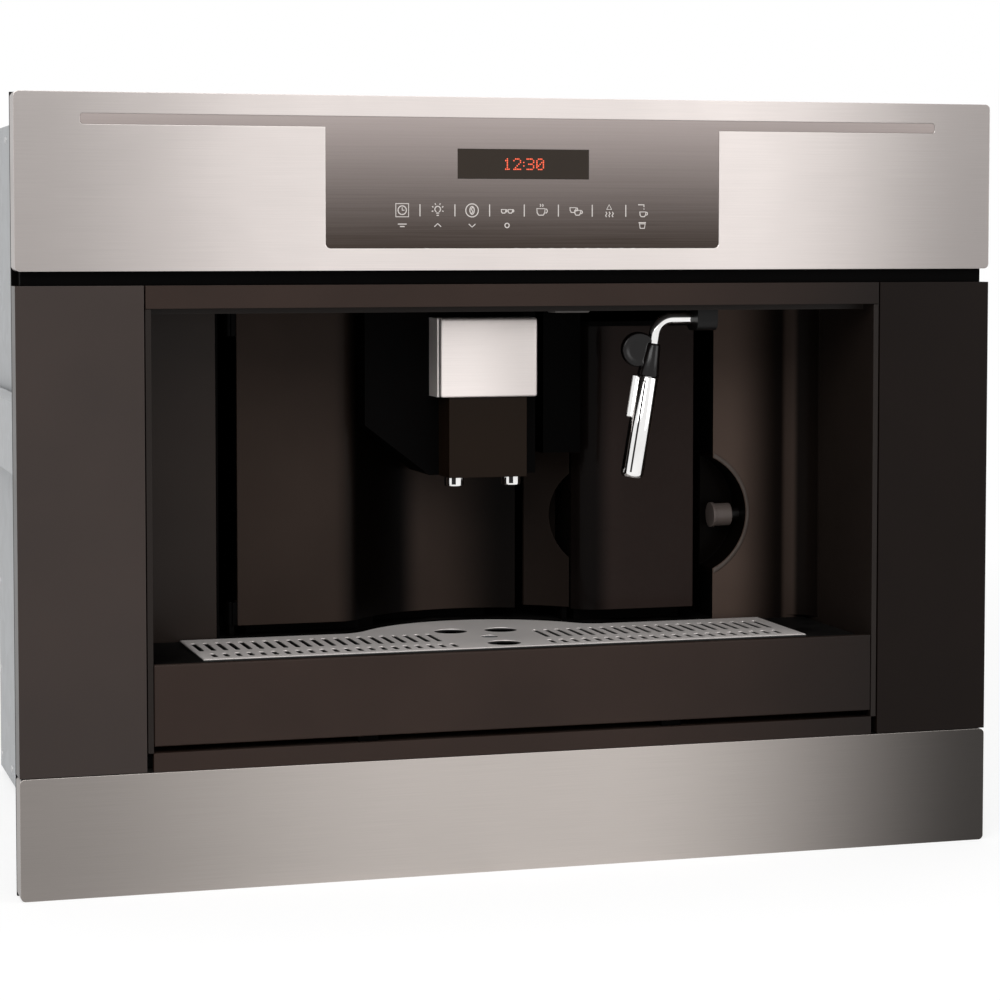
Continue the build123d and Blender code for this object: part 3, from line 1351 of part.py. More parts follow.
export_step(grinder_housing.part, "parts/grinder_housing.step")

with BuildPart() as burr_cone:
    rod((GRINDER_X, GRINDER_Y, z_grinder + MOULD_T + SEAT), (GRINDER_X, GRINDER_Y, z_burr), BURR_SHAFT_R)
    with Locations((GRINDER_X, GRINDER_Y, z_burr - MOULD_T + SEAT)):
        Cone(BURR_R, BURR_TOP_R, BURR_H, align=(Align.CENTER, Align.CENTER, Align.MIN))
    with BuildSketch(Plane.XY.offset(z_burr)):
        with Locations((GRINDER_X, GRINDER_Y)):
            with PolarLocations(BURR_R, BURR_FLUTES):
                Rectangle(*BURR_FLUTE)
    extrude(amount=BURR_H, mode=Mode.SUBTRACT)
burr_cone.part.label = "burr_cone"
export_step(burr_cone.part, "parts/burr_cone.step")

with BuildPart() as grinder_motor:
    z_motor = z_grinder + GEARCASE_H
    rod((MOTOR_X, GRINDER_Y, z_motor), (MOTOR_X, GRINDER_Y, z_motor + MOTOR_H), MOTOR_R)
    rod((MOTOR_X, GRINDER_Y, z_grinder + 2 * MOULD_T), (MOTOR_X, GRINDER_Y, z_motor), BURR_SHAFT_R)
grinder_motor.part.label = "grinder_motor"
export_step(grinder_motor.part, "parts/grinder_motor.step")

z_hopper = z_chassis_top - HOPPER_STRAIGHT
flange_low = (hopper_low[0] - FLANGE_MARGIN, hopper_low[1] - FLANGE_MARGIN)
flange_high = (chute_high_x + FLANGE_MARGIN, hopper_high[1] + FLANGE_MARGIN)
z_lid = z_flange + FIT
z_lid_hinge = z_lid + LID_T / 2 + LID_PIN_RISE
bean_lid_x = (hopper_low[0] + MOULD_T + FIT, hopper_high[0] - MOULD_T - FIT)
bean_lid_y = (hopper_low[1] + MOULD_T, hopper_high[1] - LID_EDGE)
powder_lid_x = (CHUTE_X - CHUTE_R - LID_EDGE, CHUTE_X + CHUTE_R + LID_EDGE)
powder_lid_y = (GRINDER_Y - CHUTE_R - LID_EDGE, GRINDER_Y + CHUTE_R + LID_BACK)
lids = [("bean_lid", bean_lid_x, bean_lid_y), ("powder_lid", powder_lid_x, powder_lid_y)]

with BuildPart() as bean_container:
    block((*hopper_low, z_hopper), (*hopper_high, z_chassis_top))
    with BuildSketch(Plane.XY.offset(z_hopper)):
        with Locations((HOPPER_X, GRINDER_Y)):
            Rectangle(HOPPER_W, HOPPER_L)
    with BuildSketch(Plane.XY.offset(z_grinder_top)):
        with Locations((GRINDER_X, GRINDER_Y)):
            Circle(HOPPER_THROAT_R)
    loft()
    rod((CHUTE_X, GRINDER_Y, z_hopper), (CHUTE_X, GRINDER_Y, z_chassis_top), CHUTE_R + MOULD_T)
    rod((duct_x, GRINDER_Y, z_ceiling - DUCT_REACH), (duct_x, GRINDER_Y, z_hopper), DUCT_R)
    block((*flange_low, z_chassis_top), (*flange_high, z_flange))
    for _, (low, high), (_, hinge_y) in lids:
        for x in (low - LID_EAR_T - FIT, high + FIT):
            block(
                (x, hinge_y - LID_EAR_R, z_flange),
                (x + LID_EAR_T, hinge_y + LID_EAR_R, z_lid_hinge + LID_EAR_R - LID_PIN_RISE),
            )
    block(
        (hopper_low[0] + MOULD_T, hopper_low[1] + MOULD_T, z_hopper),
        (hopper_high[0] - MOULD_T, hopper_high[1] - MOULD_T, z_flange + OVER),
        mode=Mode.SUBTRACT,
    )
    with BuildSketch(Plane.XY.offset(z_hopper)):
        with Locations((HOPPER_X, GRINDER_Y)):
            Rectangle(HOPPER_W - 2 * MOULD_T, HOPPER_L - 2 * MOULD_T)
    with BuildSketch(Plane.XY.offset(z_grinder_top)):
        with Locations((GRINDER_X, GRINDER_Y)):
            Circle(HOPPER_THROAT_R - MOULD_T)
    loft(mode=Mode.SUBTRACT)
    rod(
        (CHUTE_X, GRINDER_Y, z_hopper + MOULD_T),
        (CHUTE_X, GRINDER_Y, z_flange + OVER),
        CHUTE_R,
        mode=Mode.SUBTRACT,
    )
    rod(
        (duct_x, GRINDER_Y, z_ceiling - DUCT_REACH - OVER),
        (duct_x, GRINDER_Y, z_hopper + MOULD_T + OVER),
        DUCT_R - MOULD_T,
        mode=Mode.SUBTRACT,
    )
    for _, (low, high), (_, hinge_y) in lids:
        rod(
            (low - LID_EAR_T - OVER, hinge_y, z_lid_hinge),
            (high + LID_EAR_T + OVER, hinge_y, z_lid_hinge),
            LID_PIN_R + RUN,
            mode=Mode.SUBTRACT,
        )
    rod(
        (CHUTE_X, KNOB_Y, z_flange - FLANGE_T - OVER),
        (CHUTE_X, KNOB_Y, z_flange + OVER),
        KNOB_STEM_R + RUN,
        mode=Mode.SUBTRACT,
    )
bean_container.part.label = "bean_container"
export_step(bean_container.part, "parts/bean_container.step")

for word, (low, high), (front, hinge_y) in lids:
    with BuildPart() as lid:
        block((low, front, z_lid), (high, hinge_y, z_lid + LID_T))
        rod((low - LID_EAR_T, hinge_y, z_lid_hinge), (high + LID_EAR_T, hinge_y, z_lid_hinge), LID_PIN_R)
        with Locations(((low + high) / 2, front + LID_GROOVE_INSET, z_lid + LID_T)):
            Box(*LID_GROOVE, mode=Mode.SUBTRACT)
    lid.part.label = word
    export_step(lid.part, f"parts/{word}.step")

with BuildPart() as grind_knob:
    z_knob = z_flange + SEAT
    z_stem = z_flange - FLANGE_T - KNOB_REACH
    rod((CHUTE_X, KNOB_Y, z_knob), (CHUTE_X, KNOB_Y, z_knob + KNOB_H), KNOB_R)
    rod((CHUTE_X, KNOB_Y, z_stem), (CHUTE_X, KNOB_Y, z_knob), KNOB_STEM_R)
    with BuildSketch(Plane.XY.offset(z_knob + KNOB_H)):
        with Locations((CHUTE_X, KNOB_Y)):
            with PolarLocations(KNOB_R, KNOB_FLUTES):
                Circle(KNOB_FLUTE_R)
        with Locations((CHUTE_X, KNOB_Y - KNOB_MARK_AT)):
            Rectangle(*KNOB_MARK)
    extrude(amount=-KNOB_FLUTE_R, mode=Mode.SUBTRACT)
grind_knob.part.label = "grind_knob"
export_step(grind_knob.part, "parts/grind_knob.step")

# ================================================================== water and electric parts
z_boiler_top = BOILER_FOOT + BOILER_H
z_boiler_mid = BOILER_FOOT + BOILER_H / 2
with BuildPart() as boiler:
    rod((BOILER_X, BOILER_Y, BOILER_FOOT), (BOILER_X, BOILER_Y, z_boiler_top), BOILER_R)
    fillet(boiler.edges().filter_by(GeomType.CIRCLE), radius=BOILER_DOME)
    block(
        (x_right_panel + MOULD_T, BOILER_Y - BOILER_BRACKET_W / 2, z_boiler_mid - BOILER_BRACKET_H / 2),
        (
            BOILER_X - BOILER_R + BOILER_SINK,
            BOILER_Y + BOILER_BRACKET_W / 2,
            z_boiler_mid + BOILER_BRACKET_H / 2,
        ),
    )
boiler.part.label = "boiler"
export_step(boiler.part, "parts/boiler.step")

y_pump = y_cover - PUMP_BACK
pump_x = (PUMP_X - PUMP_L / 2, PUMP_X + PUMP_L / 2)
with BuildPart() as pump:
    rod((pump_x[0], y_pump, PUMP_Z), (pump_x[1], y_pump, PUMP_Z), PUMP_R)
    block(
        (pump_x[0] + PUMP_PLATE_INSET, y_pump - PUMP_R, z_chassis + SHEET_T),
        (pump_x[1] - PUMP_PLATE_INSET, y_pump + PUMP_R, z_chassis + SHEET_T + PUMP_PLATE),
    )
    for x in (pump_x[0] + PUMP_LEG_INSET, pump_x[1] - PUMP_LEG_INSET):
        block(
            (x - PUMP_PLATE / 2, y_pump - PUMP_LEG_W / 2, z_chassis + SHEET_T),
            (x + PUMP_PLATE / 2, y_pump + PUMP_LEG_W / 2, PUMP_Z),
        )
pump.part.label = "pump"
export_step(pump.part, "parts/pump.step")

z_duct = z_chassis_top - HOSE_DUCT_DROP
hose_routes = [
    [
        (HOSE_X, HOSE_Y, z_grid - MOULD_T - NIPPLE_L),
        (HOSE_X, HOSE_Y, PUMP_Z),
        (HOSE_X, y_pump - PUMP_R, PUMP_Z),
    ],
    [
        (pump_x[1], y_pump, PUMP_Z),
        (BOILER_X, y_pump, PUMP_Z),
        (BOILER_X, BOILER_Y, PUMP_Z),
        (BOILER_X, BOILER_Y, BOILER_FOOT),
    ],
    [
        (BOILER_X, BOILER_Y, z_boiler_top),
        (BOILER_X, BOILER_Y, z_duct),
        (BOILER_X, y_wand, z_duct),
        (WAND_X + BRACKET_L / 2, y_wand, z_duct),
        (WAND_X + BRACKET_L / 2, y_wand, z_ceiling + LINER_T),
    ],
]
with BuildPart() as water_hoses:
    for route in hose_routes:
        with BuildLine() as path:
            FilletPolyline(*route, radius=HOSE_BEND)
        with BuildSketch(Plane(origin=path.line @ 0, z_dir=path.line % 0)):
            Circle(HOSE_R)
        sweep()
water_hoses.part.label = "water_hoses"
export_step(water_hoses.part, "parts/water_hoses.step")

x_board = -x_chassis + SHEET_T + STANDOFF_L
on_board = (Align.CENTER, Align.CENTER, Align.MIN)
with BuildPart() as power_board:
    board_low = (POWER_BOARD_Y - POWER_BOARD_L / 2, POWER_BOARD_Z - POWER_BOARD_H / 2)
    board_high = (POWER_BOARD_Y + POWER_BOARD_L / 2, POWER_BOARD_Z + POWER_BOARD_H / 2)
    block((x_board, *board_low), (x_board + BOARD_T, *board_high))
    for y in (board_low[0] + STANDOFF_INSET, board_high[0] - STANDOFF_INSET):
        for z in (board_low[1] + STANDOFF_INSET, board_high[1] - STANDOFF_INSET):
            rod((-x_chassis + SHEET_T, y, z), (x_board, y, z), STANDOFF_R)
    with Locations(Plane(origin=(x_board + BOARD_T, POWER_BOARD_Y, POWER_BOARD_Z), z_dir=(1, 0, 0))):
        with Locations(TRANSFORMER_AT):
            Box(*TRANSFORMER, align=on_board)
        with GridLocations(0, RELAY_PITCH, 1, RELAYS):
            with Locations(RELAYS_AT):
                Box(*RELAY, align=on_board)
        with GridLocations(CAPACITOR_PITCH, 0, 2, 1):
            with Locations(CAPACITORS_AT):
                Cylinder(*CAPACITOR, align=on_board)
power_board.part.label = "power_board"
export_step(power_board.part, "parts/power_board.step")

y_inlet = y_back - INLET_L
socket_z = INLET_Z - SOCKET_RISE
rocker_z = INLET_Z + SOCKET_RISE
y_rocker = y_back - ROCKER_BACK
with BuildPart() as inlet_socket:
    block((inlet_low[0], y_inlet, inlet_low[1]), (inlet_high[0], y_back, inlet_high[1]))
    block(
        (INLET_X - SOCKET_W / 2, y_back - SOCKET_L, socket_z - SOCKET_H / 2),
        (INLET_X + SOCKET_W / 2, y_back + OVER, socket_z + SOCKET_H / 2),
        mode=Mode.SUBTRACT,
    )
    for step in (-1, 0, 1):
        x = INLET_X + step * BLADE_PITCH
        block(
            (x - BLADE[0] / 2, y_back - SOCKET_L - OVER, socket_z),
            (x + BLADE[0] / 2, y_back - SOCKET_L + BLADE[1], socket_z + BLADE[2]),
        )
    block(
        (INLET_X - ROCKER_W / 2 - FIT, y_rocker - ROCKER_T, rocker_z - ROCKER_H / 2 - ROCKER_HEAD),
        (INLET_X + ROCKER_W / 2 + FIT, y_back + OVER, rocker_z + ROCKER_H / 2 + ROCKER_HEAD),
        mode=Mode.SUBTRACT,
    )
    rod(
        (INLET_X - ROCKER_W / 2 - ROCKER_PIN_REACH - FIT, y_rocker, rocker_z),
        (INLET_X + ROCKER_W / 2 + ROCKER_PIN_REACH + FIT, y_rocker, rocker_z),
        ROCKER_PIN_R + RUN,
        mode=Mode.SUBTRACT,
    )
inlet_socket.part.label = "inlet_socket"
export_step(inlet_socket.part, "parts/inlet_socket.step")

with BuildPart() as main_switch:
    with Locations(Location((INLET_X, y_rocker, rocker_z), (-ROCKER_TILT, 0, 0))):
        Box(ROCKER_W, ROCKER_T, ROCKER_H)
    rod(
        (INLET_X - ROCKER_W / 2 - ROCKER_PIN_REACH, y_rocker, rocker_z),
        (INLET_X + ROCKER_W / 2 + ROCKER_PIN_REACH, y_rocker, rocker_z),
        ROCKER_PIN_R,
    )
main_switch.part.label = "main_switch"
export_step(main_switch.part, "parts/main_switch.step")
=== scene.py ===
import json
from math import acos, cos, degrees, pi, radians, sin, tan

import bmesh
import bpy
from bpy.props import FloatProperty, FloatVectorProperty, PointerProperty, StringProperty
from mathutils import Matrix, Vector


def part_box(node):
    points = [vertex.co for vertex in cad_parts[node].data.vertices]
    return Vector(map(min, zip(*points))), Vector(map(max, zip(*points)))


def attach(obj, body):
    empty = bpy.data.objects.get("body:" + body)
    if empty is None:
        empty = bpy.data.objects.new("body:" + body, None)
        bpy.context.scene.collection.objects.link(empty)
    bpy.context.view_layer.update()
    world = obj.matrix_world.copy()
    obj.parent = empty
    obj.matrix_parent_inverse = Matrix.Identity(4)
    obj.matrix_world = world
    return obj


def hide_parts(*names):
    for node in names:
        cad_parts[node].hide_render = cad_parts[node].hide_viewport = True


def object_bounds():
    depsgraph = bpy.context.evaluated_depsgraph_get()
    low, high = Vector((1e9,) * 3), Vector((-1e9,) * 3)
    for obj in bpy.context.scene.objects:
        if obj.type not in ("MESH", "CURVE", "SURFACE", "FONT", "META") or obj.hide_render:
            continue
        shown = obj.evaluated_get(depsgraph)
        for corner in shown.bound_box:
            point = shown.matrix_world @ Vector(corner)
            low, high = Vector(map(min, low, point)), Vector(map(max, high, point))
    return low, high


bl_info = {
    "name": "Built-in Coffee Machine",
    "version": (1, 0, 0),
    "blender": (4, 5, 0),
    "location": "3D View > Sidebar > Coffee Machine",
    "description": "Dresses the frame of a built-in coffee machine with its finishes and fine pieces",
    "category": "Object",
}

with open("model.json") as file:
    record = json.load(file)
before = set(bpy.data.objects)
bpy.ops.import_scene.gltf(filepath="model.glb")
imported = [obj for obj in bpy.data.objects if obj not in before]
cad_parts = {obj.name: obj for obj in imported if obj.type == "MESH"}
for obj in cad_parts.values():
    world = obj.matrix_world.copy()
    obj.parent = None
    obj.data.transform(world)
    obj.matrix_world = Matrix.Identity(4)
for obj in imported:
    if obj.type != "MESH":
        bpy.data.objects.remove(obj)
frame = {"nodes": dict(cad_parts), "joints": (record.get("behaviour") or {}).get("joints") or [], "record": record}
cad_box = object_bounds()
MM = 0.001
SIDES = (-1, 1)

# ------------------------------------------------------------------ places read from the frame
glass_low, glass_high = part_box("control_glass")
window_low, window_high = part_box("display_window")
cover_low, cover_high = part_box("spout_cover")
slider_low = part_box("spout_slider")[0]
nozzle_low, nozzle_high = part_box("spout_nozzles")
grid_low, grid_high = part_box("drip_grid")
plunger_low, plunger_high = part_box("catch_plunger")
rear_low, rear_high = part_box("rear_cover")
tank_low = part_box("water_tank")[0]
recess_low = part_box("back_panel_right")[0]
wall_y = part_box("back_panel_left")[0].y
joint_at = {joint["name"]: joint for joint in frame["joints"]}
hinge_x = joint_at["door_swing"]["pos_m"][0]
niche_x = (nozzle_low.x + nozzle_high.x) / 2

# ------------------------------------------------------------------ fixed tones
BLACK = (0.0012, 0.001, 0.001)
PLASTIC_BLACK = (0.0045, 0.004, 0.004)
GRIP_BLACK = (0.003, 0.002, 0.002)
DISPLAY_BLACK = (0.016, 0.009, 0.004)
SLIDER_BROWN = (0.010, 0.0055, 0.003)
RIM_HIGHLIGHT_BROWN = (0.075, 0.060, 0.052)
PLUNGER_GREY = (0.10, 0.08, 0.072)
TANK_SMOKE = (0.0215, 0.0145, 0.0125)
LID_SMOKE = (0.02, 0.018, 0.017)
ZINC = (0.48, 0.49, 0.50)
RUNNER_ZINC = (0.50, 0.51, 0.52)
SCREW_STEEL = (0.5, 0.5, 0.5)
MACHINED_METAL = (0.5, 0.47, 0.42)
BURR_STEEL = (0.38, 0.37, 0.36)
HOSE_WHITE = (0.45, 0.44, 0.42)
PLAIN_GREY = (0.16, 0.16, 0.165)
DUST = (0.5, 0.48, 0.45)
CHROME_TONES = ((0.86, 0.85, 0.84), (0.80, 0.79, 0.78))
LENS_TONES = ((0.10, 0.09, 0.085), (0.14, 0.13, 0.12))
BOARD_TONES = ((0.012, 0.11, 0.045), (0.03, 0.2, 0.08))
PAD_GOLD = (0.55, 0.5, 0.38)
PRINT_TONES = ((0.50, 0.46, 0.44), (0.60, 0.56, 0.53))
FLOOR_TONES = ((0.86, 0.86, 0.86), (0.9, 0.9, 0.9))

# ------------------------------------------------------------------ shares of the surface effects
GLASS_FADE = 1.3                                # bend of the glass's fade from its foot to its top
GLASS_GRAIN = 0.12                              # how far the grain shifts that fade
PAD_SIZE = 0.16                                 # pads of the board, as a share of their spacing
PAD_METAL = 0.4


# ------------------------------------------------------------------ settings
class FinishSettings(bpy.types.PropertyGroup):
    """Colours of the finishes."""

    upper_steel: FloatVectorProperty(
        name="Upper steel", description="Brushed steel of the control fascia",
        subtype="COLOR", default=(0.705, 0.645, 0.62), min=0, max=1,
    )
    lower_steel: FloatVectorProperty(
        name="Lower steel", description="Brushed steel of the lower fascia",
        subtype="COLOR", default=(0.50, 0.455, 0.425), min=0, max=1,
    )
    # the glass's top and foot colours hold its print and a painted reflection together
    glass_top: FloatVectorProperty(
        name="Glass, top", description="Print behind the control glass at its upper edge",
        subtype="COLOR", default=(0.355, 0.305, 0.29), min=0, max=1,
    )
    glass_foot: FloatVectorProperty(
        name="Glass, foot", description="Print behind the control glass at its lower edge",
        subtype="COLOR", default=(0.034, 0.022, 0.016), min=0, max=1,
    )
    panel_brown: FloatVectorProperty(
        name="Panel brown", description="Dark brown of the side panels, rail and tray front",
        subtype="COLOR", default=(0.022, 0.0135, 0.0105), min=0, max=1,
    )
    cavity_brown: FloatVectorProperty(
        name="Cavity brown", description="Dark brown of the walls in the cavity",
        subtype="COLOR", default=(0.0165, 0.0116, 0.0094), min=0, max=1,
    )
    grid_cream: FloatVectorProperty(
        name="Grid steel", description="Satin steel of the cup grid",
        subtype="COLOR", default=(0.80, 0.755, 0.73), min=0, max=1,
    )
    digit_red: FloatVectorProperty(
        name="Digit red", description="Lit dots of the clock",
        subtype="COLOR", default=(0.95, 0.12, 0.05), min=0, max=1,
    )


class PieceSettings(bpy.types.PropertyGroup):
    """Sizes of the fine pieces."""

    mark_line: FloatProperty(
        name="Mark line", description="Line width of the marks on the glass",
        unit="LENGTH", default=0.62 * MM, min=0.1 * MM, max=2 * MM,
    )
    dot_pitch: FloatProperty(
        name="Dot pitch", description="Distance between the dots of the clock",
        unit="LENGTH", default=1.0 * MM, min=0.3 * MM, max=3 * MM,
    )
    dot_radius: FloatProperty(
        name="Dot radius", description="Radius of a dot of the clock",
        unit="LENGTH", default=0.40 * MM, min=0.1 * MM, max=1 * MM,
    )
    rivet_radius: FloatProperty(
        name="Rivet radius", description="Radius of a rivet head",
        unit="LENGTH", default=2.6 * MM, min=1 * MM, max=5 * MM,
    )
    rivet_height: FloatProperty(
        name="Rivet height", description="Height of a rivet head over the sheet",
        unit="LENGTH", default=0.9 * MM, min=0.3 * MM, max=1.1 * MM,
    )
    clock: StringProperty(
        name="Clock", description="What the clock shows, in digits from 0 to 3 and a colon",
        default="12:30",
    )


class StageSettings(bpy.types.PropertyGroup):
    """Camera and light."""

    camera_at: FloatVectorProperty(
        name="Camera", description="Where the camera stands",
        subtype="TRANSLATION", unit="LENGTH", default=(-0.4787, -1.593, 0.373),
    )
    yaw: FloatProperty(
        name="Yaw", description="Camera turned to the right",
        subtype="ANGLE", default=radians(16.39),
    )
    pitch: FloatProperty(
        name="Pitch", description="Camera tipped down",
        subtype="ANGLE", default=radians(3.29),
    )
    lens: FloatProperty(name="Lens", description="Focal length in millimetres", default=101.05, min=10)
    shift: FloatProperty(name="Shift", description="Upward shift of the frame", default=-0.1)
    lamp_power: FloatProperty(
        name="Lamp power", description="Power of the main lamp", subtype="POWER", default=30.0, min=0,
    )
    fill: FloatProperty(
        name="Fill", description="Strength of the light from all round", default=0.38, min=0,
    )


# ------------------------------------------------------------------ helpers for shader trees
def set_sockets(tree, node, sockets):
    """Inputs of a node set to values or linked to outputs."""
    for name, value in sockets.items():
        if isinstance(value, bpy.types.NodeSocket):
            tree.links.new(value, node.inputs[name])
        else:
            node.inputs[name].default_value = value


def add_node(tree, kind, sockets=None, **settings):
    """A node in a tree, with its settings and its inputs."""
    made = tree.nodes.new(kind)
    for name, value in settings.items():
        setattr(made, name, value)
    set_sockets(tree, made, sockets or {})
    return made


def maths(tree, operation, *values):
    """The result of a maths node on one to three values."""
    return add_node(tree, "ShaderNodeMath", dict(enumerate(values)), operation=operation).outputs[0]


def scattered(tree, vector, scale, **more):
    """The value of a noise texture."""
    sockets = {"Vector": vector, "Scale": scale}
    sockets.update({key.title(): value for key, value in more.items()})
    return add_node(tree, "ShaderNodeTexNoise", sockets).outputs[0]


def ramp(tree, value, low, high):
    """A value spread from 0 at low to 1 at high."""
    sockets = {"Value": value, "From Min": low, "From Max": high}
    return add_node(tree, "ShaderNodeMapRange", sockets).outputs["Result"]


MIX_SHARE, MIX_FIRST, MIX_SECOND = 0, 6, 7      # a Mix node's inputs when it mixes colours
MIX_RESULT = 2


def mix_colour(tree, share, first, second):
    """Two colours mixed by a share."""
    ends = [c if isinstance(c, bpy.types.NodeSocket) else (*c[:3], 1.0) for c in (first, second)]
    sockets = {MIX_SHARE: share, MIX_FIRST: ends[0], MIX_SECOND: ends[1]}
    return add_node(tree, "ShaderNodeMix", sockets, data_type="RGBA").outputs[MIX_RESULT]


def new_group(name, inputs, outputs):
    """An empty shader group, with its two end nodes."""
    tree = bpy.data.node_groups.new(name, "ShaderNodeTree")
    for title, kind, default in inputs:
        socket = tree.interface.new_socket(name=title, in_out="INPUT", socket_type=f"NodeSocket{kind}")
        if default is not None:
            socket.default_value = default
    for title, kind in outputs:
        tree.interface.new_socket(name=title, in_out="OUTPUT", socket_type=f"NodeSocket{kind}")
    return tree, tree.nodes.new("NodeGroupInput").outputs, tree.nodes.new("NodeGroupOutput").inputs


def grain_group():
    """Brushed grain: long fine scratches along X, with a cloudy tone under them."""
    tree, given, result = new_group(
        "brushed_grain",
        [("Vector", "Vector", None), ("Length", "Float", 18.0), ("Fineness", "Float", 2600.0)],
        [("Tone", "Float"), ("Height", "Float")],
    )
    fine = given["Fineness"]
    stretch = add_node(tree, "ShaderNodeCombineXYZ", {"X": given["Length"], "Y": fine, "Z": fine})
    vectors = {0: given["Vector"], 1: stretch.outputs[0]}
    scaled = add_node(tree, "ShaderNodeVectorMath", vectors, operation="MULTIPLY")
    scratches = scattered(tree, scaled.outputs[0], 1.0, detail=3.0, roughness=0.65)
    clouds = scattered(tree, given["Vector"], 9.0, detail=2.0, roughness=0.5)
    lines = ramp(tree, scratches, 0.3, 0.7)
    soft = maths(tree, "MULTIPLY", clouds, 0.4)
    tree.links.new(maths(tree, "MULTIPLY_ADD", lines, 0.6, soft), result["Tone"])
    tree.links.new(scratches, result["Height"])


def skin_group():
    """Moulded skin: fine pores of plastic or powder coat, and a slow change of tone."""
    tree, given, result = new_group(
        "moulded_skin",
        [("Vector", "Vector", None), ("Scale", "Float", 1400.0)],
        [("Tone", "Float"), ("Height", "Float")],
    )
    pores = scattered(tree, given["Vector"], given["Scale"], detail=2.0, roughness=0.6)
    slow = scattered(tree, given["Vector"], 14.0, detail=3.0)
    tree.links.new(ramp(tree, slow, 0.3, 0.7), result["Tone"])
    tree.links.new(pores, result["Height"])


def edge_group():
    """Soft edges: a rounded normal, and a mask where the surface turns."""
    tree, given, result = new_group(
        "soft_edges",
        [("Radius", "Float", 0.5 * MM)],
        [("Mask", "Float"), ("Normal", "Vector")],
    )
    rounded = add_node(tree, "ShaderNodeBevel", {"Radius": given["Radius"]}, samples=8)
    flat = add_node(tree, "ShaderNodeNewGeometry")
    facing = add_node(
        tree, "ShaderNodeVectorMath",
        {0: rounded.outputs[0], 1: flat.outputs["Normal"]}, operation="DOT_PRODUCT",
    )
    tree.links.new(ramp(tree, facing.outputs["Value"], 0.96, 0.7), result["Mask"])
    tree.links.new(rounded.outputs[0], result["Normal"])


def dust_group():
    """Dust and smudges: a broken mask, stronger where the surface looks up."""
    tree, given, result = new_group(
        "dust_and_smudges",
        [("Vector", "Vector", None), ("Scale", "Float", 30.0)],
        [("Smudge", "Float"), ("Dust", "Float")],
    )
    ragged = {"detail": 5.0, "roughness": 0.7, "distortion": 0.4}
    patches = scattered(tree, given["Vector"], given["Scale"], **ragged)
    normal = add_node(tree, "ShaderNodeNewGeometry").outputs["Normal"]
    up = add_node(tree, "ShaderNodeSeparateXYZ", {"Vector": normal}).outputs["Z"]
    smudge = ramp(tree, patches, 0.42, 0.68)
    tree.links.new(smudge, result["Smudge"])
    tree.links.new(maths(tree, "MULTIPLY", smudge, ramp(tree, up, 0.5, 1.0)), result["Dust"])


def spangle_group():
    """Zinc spangle: flat crystals, each with its own tone."""
    tree, given, result = new_group(
        "zinc_spangle",
        [("Vector", "Vector", None), ("Scale", "Float", 90.0)],
        [("Tone", "Float")],
    )
    cells = add_node(tree, "ShaderNodeTexVoronoi", {"Vector": given["Vector"], "Scale": given["Scale"]})
    shade = add_node(tree, "ShaderNodeSeparateColor", {"Color": cells.outputs["Color"]})
    tree.links.new(shade.outputs[0], result["Tone"])


def zone_group():
    """Zone: a tone that is a share within one distance of a centre and 1 beyond another."""
    tree, given, result = new_group(
        "tone_zone",
        [
            ("Place", "Float", 0.0), ("Centre", "Float", 0.0), ("Inner", "Float", 0.0),
            ("Outer", "Float", 1.0), ("Share", "Float", 0.0),
        ],
        [("Tone", "Float")],
    )
    away = maths(tree, "ABSOLUTE", maths(tree, "SUBTRACT", given["Place"], given["Centre"]))
    limits = {"From Min": given["Inner"], "From Max": given["Outer"], "To Min": given["Share"]}
    sockets = {"Value": away, **limits}
    faded = add_node(tree, "ShaderNodeMapRange", sockets, interpolation_type="SMOOTHSTEP")
    tree.links.new(faded.outputs["Result"], result["Tone"])


# ------------------------------------------------------------------ materials
def new_material(name, **plain):
    """A material; returns its tree, its Principled shader and its object coordinates."""
    material = bpy.data.materials.new(name)
    material.use_nodes = True
    tree = material.node_tree
    shader = tree.nodes["Principled BSDF"]
    for key, value in plain.items():
        shader.inputs[key.replace("_", " ").title().replace("Ior", "IOR")].default_value = value
    place = add_node(tree, "ShaderNodeTexCoord").outputs["Object"]
    return tree, shader, place


def use_group(tree, name, **sockets):
    """A shared group placed in a material."""
    placed = add_node(tree, "ShaderNodeGroup", node_tree=bpy.data.node_groups[name])
    set_sockets(tree, placed, sockets)
    return placed.outputs


def paint(tree, shader, colour):
    """The colour of the surface."""
    tree.links.new(colour, shader.inputs["Base Color"])


def roughen(tree, shader, mask, least, most):
    """Roughness taken from least to most by a mask."""
    tree.links.new(maths(tree, "MULTIPLY_ADD", mask, most - least, least), shader.inputs["Roughness"])


def bump(tree, shader, height, normal, strength, depth):
    """Relief on top of the softened edges."""
    sockets = {"Height": height, "Normal": normal, "Strength": strength, "Distance": depth}
    relief = add_node(tree, "ShaderNodeBump", sockets)
    tree.links.new(relief.outputs[0], shader.inputs["Normal"])


def scaled_colour(colour, factor):
    """A colour made lighter or darker."""
    return tuple(min(1.0, channel * factor) for channel in colour)


def varied(tree, mask, colour, darkest, palest):
    """A colour taken by a mask from one factor of it to another."""
    return mix_colour(tree, mask, scaled_colour(colour, darkest), scaled_colour(colour, palest))


def in_zones(tree, place, colour, zones):
    """A colour toned by zones: each is (axis, centre, inner distance, outer distance, share)."""
    along = add_node(tree, "ShaderNodeSeparateXYZ", {"Vector": place}).outputs
    for axis, centre, inner, outer, share in zones:
        sockets = {"Place": along[axis], "Centre": centre, "Inner": inner, "Outer": outer, "Share": share}
        tone = use_group(tree, "tone_zone", **sockets)["Tone"]
        factors = {MIX_SHARE: 1.0, MIX_FIRST: colour, MIX_SECOND: tone}
        product = add_node(tree, "ShaderNodeMix", factors, data_type="RGBA", blend_type="MULTIPLY")
        colour = product.outputs[MIX_RESULT]
    return colour


